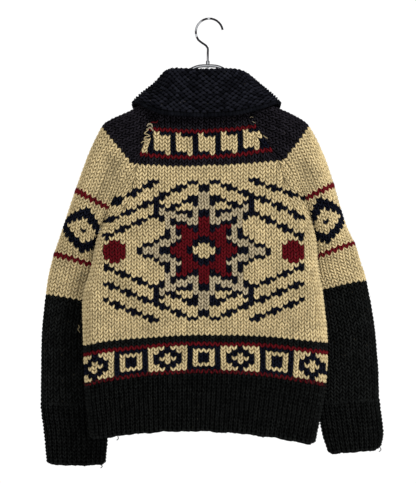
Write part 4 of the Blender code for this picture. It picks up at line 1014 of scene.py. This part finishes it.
def chrome_material():
    """Polished wire with a painted reflection in its base colour: bright where it faces forwards or back,
    dark towards its outline, with painted highlights.
    """
    nodes = Nodes("hanger_chrome")
    normal = nodes.add("NewGeometry", "Normal")
    level = nodes.maths("ABSOLUTE", nodes.add("SeparateXYZ", "Y", {0: normal}))
    place = nodes.add("TexCoord", "Object")
    for x, z, radius, gain in PAINTED_GLINTS:
        away = nodes.add("VectorMath", "Value", {0: place, 1: (x * MM, 0.0, z * MM)}, operation="DISTANCE")
        painted_glint = nodes.spread(away, PAINTED_GLINT_CORE * radius * MM, radius * MM, gain, 0.0, soft=True)
        level = nodes.maths("ADD", level, painted_glint)
    painted_reflection = nodes.mix(nodes.spread(level, *CHROME_PAINTED_TURN, soft=True), (*CHROME_PAINTED_DARK, 1.0), (*CHROME_PAINTED_LIGHT, 1.0))
    return nodes.finish(Base_Color=nodes.mottled(painted_reflection, *CHROME_MOTTLE), Metallic=1.0,
                        Roughness=CHROME_ROUGHNESS)


def tape_material():
    """Herringbone cotton tape."""
    nodes = Nodes("zip_tape_cotton")
    place = nodes.add("TexCoord", "Object")
    weave = nodes.add("TexWave", "Fac", {"Scale": TAPE_WEAVE, "Vector": place}, bands_direction="DIAGONAL")
    return nodes.finish(Base_Color=nodes.mottled(TAPE_COLOUR, *TAPE_MOTTLE), Roughness=TAPE_ROUGHNESS,
                        Normal=nodes.bump(weave, *TAPE_BUMP))


# --- pieces
# The yarn materials paint shade towards each piece's sides and the upper end that tucks under.
STITCH_WOOL = (wool_material("wool_light_yarn", "Ply", 1.0, LIGHT_GLOSS, LIGHT_SPECKLE, LIGHT_SIDE_SHADE),
               wool_material("wool_dark_yarn", "Ply", 1.0, DARK_GLOSS, DARK_SPECKLE, DARK_SIDE_SHADE))
# The gap materials scale the yarn colours to 0.33 and 0.08: painted shade between the stitches. The inside
# ones scale them to 0.8 and 0.9.
CLOTH_WOOL = (wool_material("wool_light_gaps", "Grid", 0.33, LIGHT_GLOSS),
              wool_material("wool_dark_gaps", "Grid", 0.08, DARK_GLOSS),
              wool_material("wool_light_inside", "Grid", 0.8, LIGHT_GLOSS),
              wool_material("wool_dark_inside", "Grid", 0.9, DARK_GLOSS))
# node: (slot, seed of its random draws, flat size in metres, area where it isn't a rectangle)
PIECES = {
    "back": ("body_wool", 11, (0.50, 0.53), 0.205), "hem_back": ("rib_wool", 21, (0.49, 0.105), None),
    "front_left": ("body_wool", 31, (0.25, 0.50), 0.092),
    "front_right": ("body_wool", 32, (0.25, 0.50), 0.092),
    "hem_front_left": ("rib_wool", 41, (0.245, 0.105), None),
    "hem_front_right": ("rib_wool", 42, (0.245, 0.105), None),
    "sleeve_left": ("sleeve_wool", 51, (0.29, 0.60), 0.132),
    "sleeve_right": ("sleeve_wool", 52, (0.29, 0.60), 0.132),
    "cuff_left": ("rib_wool", 61, (0.25, 0.105), None), "cuff_right": ("rib_wool", 62, (0.235, 0.095), None),
    "collar": ("collar_wool", 71, (0.50, 0.15), 0.067),
}
EDGE_SEED = 5
BACK_COUNT_X, SLEEVE_COUNT_SHARE = 5.0, 0.45
# How far yarn may pass a panel's last row, and where ribs may start above its first, in rows.
KNIT_OVERHANG, CAST_OFF_OVERHANG, WELT_OVERHANG, RIB_START = 0.22, 0.16, 0.3, -0.95
WELT_START, WELT_STEP, COLLAR_MARGIN, MOSS_UNEVEN = -0.25, 0.5, 0.6, 1.5


def batch_in(yarn, template, rows, columns):
    """A batch of pieces in one yarn."""
    return template, rows, columns, np.full(len(rows), yarn)


def add_sheet(node, ground, stitches):
    """Put a cloth piece and its stitches on the garment in place of its solid."""
    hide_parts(node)
    for piece in [ground] + stitches:
        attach(piece, GARMENT)


def make_knit_piece(node, panel, yarns, endings, bold_yarn=NO_YARN):
    """Stocking stitch, two legs for each cell, larger ones in the bold yarn.

    Its stitches are in as many meshes as there are name endings, which keeps each moderate.
    """
    ground = shell(node + "_cloth", panel, yarns, BASE_DEPTH, KNIT_WALL)
    height = panel.cells.shape[0]
    stitches = []
    for part, ending in enumerate(endings):
        rows, columns = np.nonzero(panel.stitched)
        kept = (rows >= height * part // len(endings)) & (rows < height * (part + 1) // len(endings))
        rows, columns = rows[kept], columns[kept]
        colours = yarns[rows, columns]
        bold = colours == bold_yarn
        batches = [(turned, rows[those], columns[those], colours[those])
                   for leg, those in ((KNIT_LEG, ~bold), (BOLD_LEG, bold)) for turned in (leg, mirrored(leg))]
        seed = PIECES[node][1] + part
        stitches.append(lay_yarn(node + "_stitches" + ending, panel, add_fibres(batches, seed), seed,
                                 BASE_DEPTH, overhang=KNIT_OVERHANG))
    add_sheet(node, ground, stitches)


def make_rib_piece(node, panel):
    """One knit, one purl rib: raised wales of legs with bumps low between them, and a cast-off edge."""
    ground = shell(node + "_cloth", panel, np.full(panel.cells.shape, BLACK_YARN), RIB_BASE_DEPTH, KNIT_WALL)
    seed, (height, width) = PIECES[node][1], panel.cells.shape
    raised_columns = np.arange(0, width, 2)
    edge = batch_in(BLACK_YARN, CAST_OFF, np.full(len(raised_columns), height - 1), raised_columns)
    edge = lay_yarn(node + "_edge", panel, [edge], seed + EDGE_SEED, RIB_BASE_DEPTH,
                    overhang=CAST_OFF_OVERHANG)
    rows, columns = np.nonzero(panel.stitched)
    first = columns[rows == 0]
    rows, columns = np.append(rows, np.full(len(first), -1)), np.append(columns, first)
    raised = columns % 2 == 0
    batches = [batch_in(BLACK_YARN, template, rows[those], columns[those]) for template, those in
               ((RIB_LEG, raised), (mirrored(RIB_LEG), raised), (PURL_BUMP, ~raised))]
    ribs = lay_yarn(node + "_ribs", panel, add_fibres(batches, seed), seed, RIB_BASE_DEPTH,
                    start_row=RIB_START)
    add_sheet(node, ground, [ribs, edge])


def back_middle(level):
    """The point of the back by which the body's rows are counted."""
    return body_line(1, level, np.array((BACK_COUNT_X,)))[0]


def make_body():
    levels, marks = stitch_rows(back_middle, BODY_MARKS, HEM_TOP, last_rows=LOW_BAND_ROWS)
    hem_levels, _ = stitch_rows(back_middle, ((HEM_TOP, False),), HEM_LOW)
    wales = BACK_MIDDLE_X - STITCH_WIDTH * (np.arange(BODY_STITCHES + 1) - BODY_STITCHES / 2)
    back = body_panel(None, levels, wales)
    make_knit_piece("back", back, body_yarns(back, marks, BACK_MIDDLE_X, True), ("_1", "_2"))
    make_rib_piece("hem_back", body_rib_panel(None, hem_levels))
    for side in SIGN:
        start_x = zip_edge(side)
        wales = start_x + SIGN[side] * STITCH_WIDTH * np.arange(FRONT_STITCHES, -1, -1)
        front = body_panel(side, levels, wales)
        cut_neckline(front, side, levels)
        make_knit_piece("front_" + side, front, body_yarns(front, marks, start_x, False), ("_1",))
        make_rib_piece("hem_front_" + side, body_rib_panel(side, hem_levels))
    return back


def cut_neckline(panel, side, levels):
    """Leave out the cells above a front's neckline."""
    start = zip_edge(side)
    for row in range(panel.cells.shape[0]):
        edge_x = body_row(levels[row])["x_" + side]
        middle_x = (panel.points[row, :-1, 0] + panel.points[row, 1:, 0]) / 2
        share = np.clip((middle_x - start) / (edge_x - start), 0.0, 1.0)
        above = levels[row + 1] < neck_level(share)
        panel.cells[row, above] = panel.stitched[row, above] = False


def make_sleeves():
    panels = []
    for side in SIGN:
        def middle(level):
            return sleeve_line(side, level, 1, np.array((SLEEVE_COUNT_SHARE,)))[0]

        levels, marks = stitch_rows(middle, SLEEVE_MARKS, CUFF_TOP, SLEEVE_STITCH_HEIGHT)
        marks[SLEEVE_MARK_RED_LOW] += RED_LOW_SHIFT[side]
        sleeve = sleeve_panel(side, levels)
        make_knit_piece("sleeve_" + side, sleeve, sleeve_yarns(sleeve, marks), ("",), RED_YARN)
        cuff_levels, _ = stitch_rows(middle, ((CUFF_TOP, False),), CUFF_LOW)
        cuff = sleeve_panel(side, cuff_levels, CUFF_RIB_PITCH)
        make_rib_piece("cuff_" + side, cuff)
        panels += [sleeve, cuff]
    return panels


def make_collar():
    """Staggered bumps on both faces of the collar, and a welt of upright stitches along its edge."""
    panels = collar_panels()
    height, width = panels[0].cells.shape
    seed = PIECES["collar"][1]
    yarns = np.full((height, width), COLLAR_YARN)
    ground = shell("collar_cloth", panels[0], yarns, BASE_DEPTH, COLLAR_WALL - BASE_DEPTH)
    welt_columns = np.arange(WELT_START, width - COLLAR_MARGIN, WELT_STEP)
    welt_rows = np.full(len(welt_columns), COLLAR_ROWS - WELT_ROWS + 1)
    # The welt is laid in the darkened yarn: painted shade along the collar's edge.
    welt = batch_in(SHADED_WELT_YARN, WELT, welt_rows, welt_columns)
    pieces = []
    for number, name in enumerate(("collar_face_stitches", "collar_under_stitches")):
        panel, own = panels[number], seed + number
        rows, columns = np.nonzero(panel.stitched)
        columns = columns + 0.5 * (rows % 2)
        inside = (columns < width - COLLAR_MARGIN) & (rows < COLLAR_ROWS - WELT_ROWS)
        bumps = [batch_in(COLLAR_YARN, MOSS_BUMP, rows[inside], columns[inside])]
        pieces.append(lay_yarn(name, panel, add_fibres(bumps, own), own, BASE_DEPTH, uneven=MOSS_UNEVEN))
        pieces.append(lay_yarn(name + "_welt", panel, [welt], own + EDGE_SEED, BASE_DEPTH,
                               overhang=WELT_OVERHANG))
    add_sheet("collar", ground, pieces)


# Loose ends on the back: each has its yarn, its thickness and (x, z, lift off the cloth) along it.
LOOSE_YARN = (
    ("loose_loop_1", CREAM_YARN, 0.85,
     ((117, -203, -1), (113, -204, 2.5), (120, -211, 3),
      (114.5, -213, 2), (110.5, -216, 3), (119, -218, 3.5),
      (120, -223, 2), (114, -222, 2.5), (118, -227.5, -1.5))),
    ("loose_loop_2", CREAM_YARN, 0.9,
     ((126.5, -229, -1.5), (122, -226, 2.5), (116, -226.5, 3),
      (112.5, -229.5, -1.5))),
    ("loose_loop_3", GREY_YARN, 1.5,
     ((115.5, -198, -1.5), (112, -193.5, 2.2), (107, -195, 2.4),
      (106, -200, -1.5))),
    ("loose_loop_4", GREY_YARN, 1.5,
     ((114, -203, -1.5), (110, -200, 2), (106.5, -203, 1.8),
      (104, -206, -1.5))),
    ("loose_end_red", RED_YARN, 1.2,
     ((109, -192, -1), (104, -190, 2), (98.5, -191, 2.4),
      (95.5, -187.5, 2.8))),
    ("loose_end_right", CREAM_YARN, 0.65,
     ((-99.5, -214.5, -1), (-102.5, -217, 2.2), (-107.5, -220.5, 2.6))),
    ("loose_end_top", GREY_YARN, 0.55,
     ((-79, -189, -1), (-82, -190, 2), (-85.5, -192, 2.4))),
    ("loose_end_high", GREY_YARN, 0.45,
     ((-75, -182, -1), (-78, -180.5, 1.8), (-81, -181.5, 2))),
    ("loose_end_side", CREAM_YARN, 0.6,
     ((243, -566, -1), (241, -570, 3), (243.5, -574, 3.5),
      (240, -580, 2))),
    ("loose_end_cuff_left", BLACK_YARN, 0.8,
     ((203, -818, 0), (202, -824.5, 1.5), (198.5, -828, 2),
      (201.5, -831.5, 1.5))),
    ("loose_end_cuff_right", BLACK_YARN, 0.8,
     ((-316, -792, 0), (-318.5, -797, 1), (-315, -801, 1.5))),
    ("loose_end_hem", BLACK_YARN, 0.8,
     ((170, -771, 0), (169, -777, 1), (172, -780, 1))),
)
LOOSE_POINTS, LOOSE_SIDES = 8, 6
# How far a normal points back where a place on the back's outer face is looked for.
OUTWARD = 0.2


def surface_depth(panels, x, z):
    """The y of the back's outer face nearest to a place seen from behind."""
    points = np.concatenate([panel.points[panel.normals[:, :, 1] > OUTWARD] for panel in panels])
    return points[np.argmin(np.hypot(points[:, 0] - x, points[:, 2] - z)), 1]


def make_loose_yarn(panels):
    """Pulled loops and short ends of yarn, as tubes on smooth curves."""
    turns = np.linspace(0.0, 2.0 * math.pi, LOOSE_SIDES + 1)[:-1, None]
    around = np.arange(LOOSE_SIDES)
    following = (around + 1) % LOOSE_SIDES
    for name, yarn, radius, route in LOOSE_YARN:
        guide = [(x, surface_depth(panels, x, z) + lift, z) for x, z, lift in route]
        line = np.array([spline(guide, t) for t in np.linspace(0, len(guide) - 1, LOOSE_POINTS * len(guide))])
        run = normalise(np.gradient(line, axis=0))
        aside = normalise(np.cross(run, np.array((0.0, 1.0, 0.0))))
        lift = np.cross(aside, run)
        thickness = np.append(0.5 * radius, np.full(len(line) - 1, radius))
        ring = aside[:, None] * np.cos(turns) + lift[:, None] * np.sin(turns)
        points = (line[:, None] + ring * thickness[:, None, None]).reshape(-1, 3)
        start = LOOSE_SIDES * np.arange(len(line) - 1)[:, None]
        corners = (start + around, start + following, start + LOOSE_SIDES + following,
                   start + LOOSE_SIDES + around)
        dark = yarn in DARK_YARNS
        item = make_mesh(name, points, np.stack(corners, axis=-1).reshape(-1, 4), [CLOTH_WOOL[2 + dark]])
        set_colours(item, np.repeat(YARNS[yarn][None], len(points), axis=0), "POINT")
        places = np.indices((len(line) - 1, LOOSE_SIDES)).transpose(1, 2, 0).reshape(-1, 1, 2)
        grid_map = (places + np.array(((0.0, 0.0), (0.0, 1.0), (1.0, 1.0), (1.0, 0.0)))).reshape(-1, 2)
        set_map(item, "Grid", grid_map)
        set_map(item, "OFBake", grid_map / (len(line), LOOSE_SIDES + 1.0))
        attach(item, GARMENT)


back_panel = make_body()
sleeve_panels = make_sleeves()
make_collar()
make_loose_yarn([back_panel] + sleeve_panels)

# --- hanger and zip
TOOTH_PITCH = 3.4
TOOTH_SIZE = (3.5, 3.2, 1.55)
TOOTH_BEVEL = 0.35
CHROME_NODES = ("hanger_arms", "hanger_hook", "hanger_ferrule", "hanger_nut")
BRASS_NODES = ("zip_slider", "zip_pull", "zip_box")
TAPE_NODES = ("zip_tape_left", "zip_tape_right")


def bevelled_block(size, bevel):
    """Points and triangles of a block with bevelled edges, the triangles in the same order each run."""
    block = bmesh.new()
    bmesh.ops.create_cube(block, size=1.0)
    bmesh.ops.scale(block, vec=size, verts=block.verts)
    bmesh.ops.bevel(block, geom=list(block.edges), offset=bevel, segments=1, affect="EDGES")
    bmesh.ops.triangulate(block, faces=block.faces)
    block.verts.index_update()
    points = np.array([vert.co[:] for vert in block.verts])
    faces = np.array(sorted([vert.index for vert in face.verts] for face in block.faces))
    block.free()
    return points, faces


def make_zip_teeth():
    """The closed teeth, one from each tape by turns, down the middle of the front."""
    levels = np.linspace(0.0, HEM_LOW, ZIP_SAMPLES)
    line = np.array([body_line(-1, level, np.array((ZIP_X,)))[0] for level in levels])
    heights = np.arange(ZIP_TOP_Z, ZIP_LOW_Z, -TOOTH_PITCH / 2)
    depths = np.interp(heights, line[::-1, 2], line[::-1, 1]) + CHAIN_SET_BACK + CHAIN_THICK / 2
    sides = np.where(np.arange(len(heights)) % 2 == 0, 1.0, -1.0)
    centres = np.stack((ZIP_X + sides * (CHAIN_WIDTH - TOOTH_SIZE[0]) / 2, depths, heights), axis=-1)
    points, faces = bevelled_block(TOOTH_SIZE, TOOTH_BEVEL)
    starts = len(points) * np.arange(len(centres))[:, None, None]
    teeth = make_mesh("zip_teeth", (centres[:, None] + points[None]).reshape(-1, 3),
                      (faces[None] + starts).reshape(-1, 3), [brass])
    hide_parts("zip_chain")
    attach(teeth, GARMENT)


chrome, brass, tape = chrome_material(), brass_material(), tape_material()
for names, material in ((CHROME_NODES, chrome), (BRASS_NODES, brass), (TAPE_NODES, tape)):
    for node in names:
        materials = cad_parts[node].data.materials
        materials.clear()
        materials.append(material)

make_zip_teeth()

# --- floor, light, camera (metres)
CAMERA_DISTANCE, SENSOR = 20.0, 36.0
PHOTO_HEIGHT_PX, MM_PER_PIXEL = 483, 1.85
VIEW_HEIGHT = PHOTO_HEIGHT_PX * MM_PER_PIXEL * MM
VIEW_X, VIEW_Z, VIEW_Y = 0.0024, -0.4111, 0.028
FLOOR_Z, FLOOR_RADIUS, FLOOR_SIDES = -1.6, 14.0, 96
WORLD_COLOUR, WORLD_STRENGTH = (1.0, 1.0, 1.0, 1.0), 1.06
GARMENT_MIDDLE = (0.0, 0.0, -0.42)
LIGHTS = {"key": (-1.7, 2.0, 1.5), "fill_front": (1.7, -2.0, 1.5)}
LIGHT_SIZE, LIGHT_WATTS = 0.9, 110.0


def make_floor():
    bpy.ops.mesh.primitive_circle_add(vertices=FLOOR_SIDES, radius=FLOOR_RADIUS, fill_type="NGON",
                                      location=(0, 0, FLOOR_Z))
    floor = bpy.context.object
    floor.name = "floor"
    nodes = Nodes("floor_pale")
    colour = nodes.mottled(FLOOR_COLOUR, *FLOOR_MOTTLE)
    floor.data.materials.append(nodes.finish(Base_Color=colour, Roughness=FLOOR_ROUGHNESS))


def make_light(name, place):
    """A round lamp that faces the garment."""
    data = bpy.data.lights.new(name, "AREA")
    data.shape, data.size, data.energy = "DISK", LIGHT_SIZE, LIGHT_WATTS
    item = bpy.data.objects.new(name, data)
    item.location = place
    towards = Vector(np.array(GARMENT_MIDDLE) - np.array(place))
    item.rotation_euler = towards.to_track_quat("-Z", "Y").to_euler()
    bpy.context.scene.collection.objects.link(item)


def make_stage():
    scene = bpy.context.scene
    make_floor()
    scene.world = bpy.data.worlds.new("studio")
    scene.world.use_nodes = True
    background = scene.world.node_tree.nodes["Background"]
    background.inputs["Color"].default_value = WORLD_COLOUR
    background.inputs["Strength"].default_value = WORLD_STRENGTH
    for name, place in LIGHTS.items():
        make_light(name, place)
    lens = bpy.data.cameras.new("camera")
    lens.sensor_width = SENSOR
    lens.lens = SENSOR * CAMERA_DISTANCE / VIEW_HEIGHT
    scene.camera = bpy.data.objects.new("camera", lens)
    scene.camera.location = (VIEW_X, VIEW_Y + CAMERA_DISTANCE, VIEW_Z)
    scene.camera.rotation_euler = (math.pi / 2, 0.0, math.pi)
    scene.collection.objects.link(scene.camera)
    scene.view_settings.view_transform = "Standard"


make_stage()
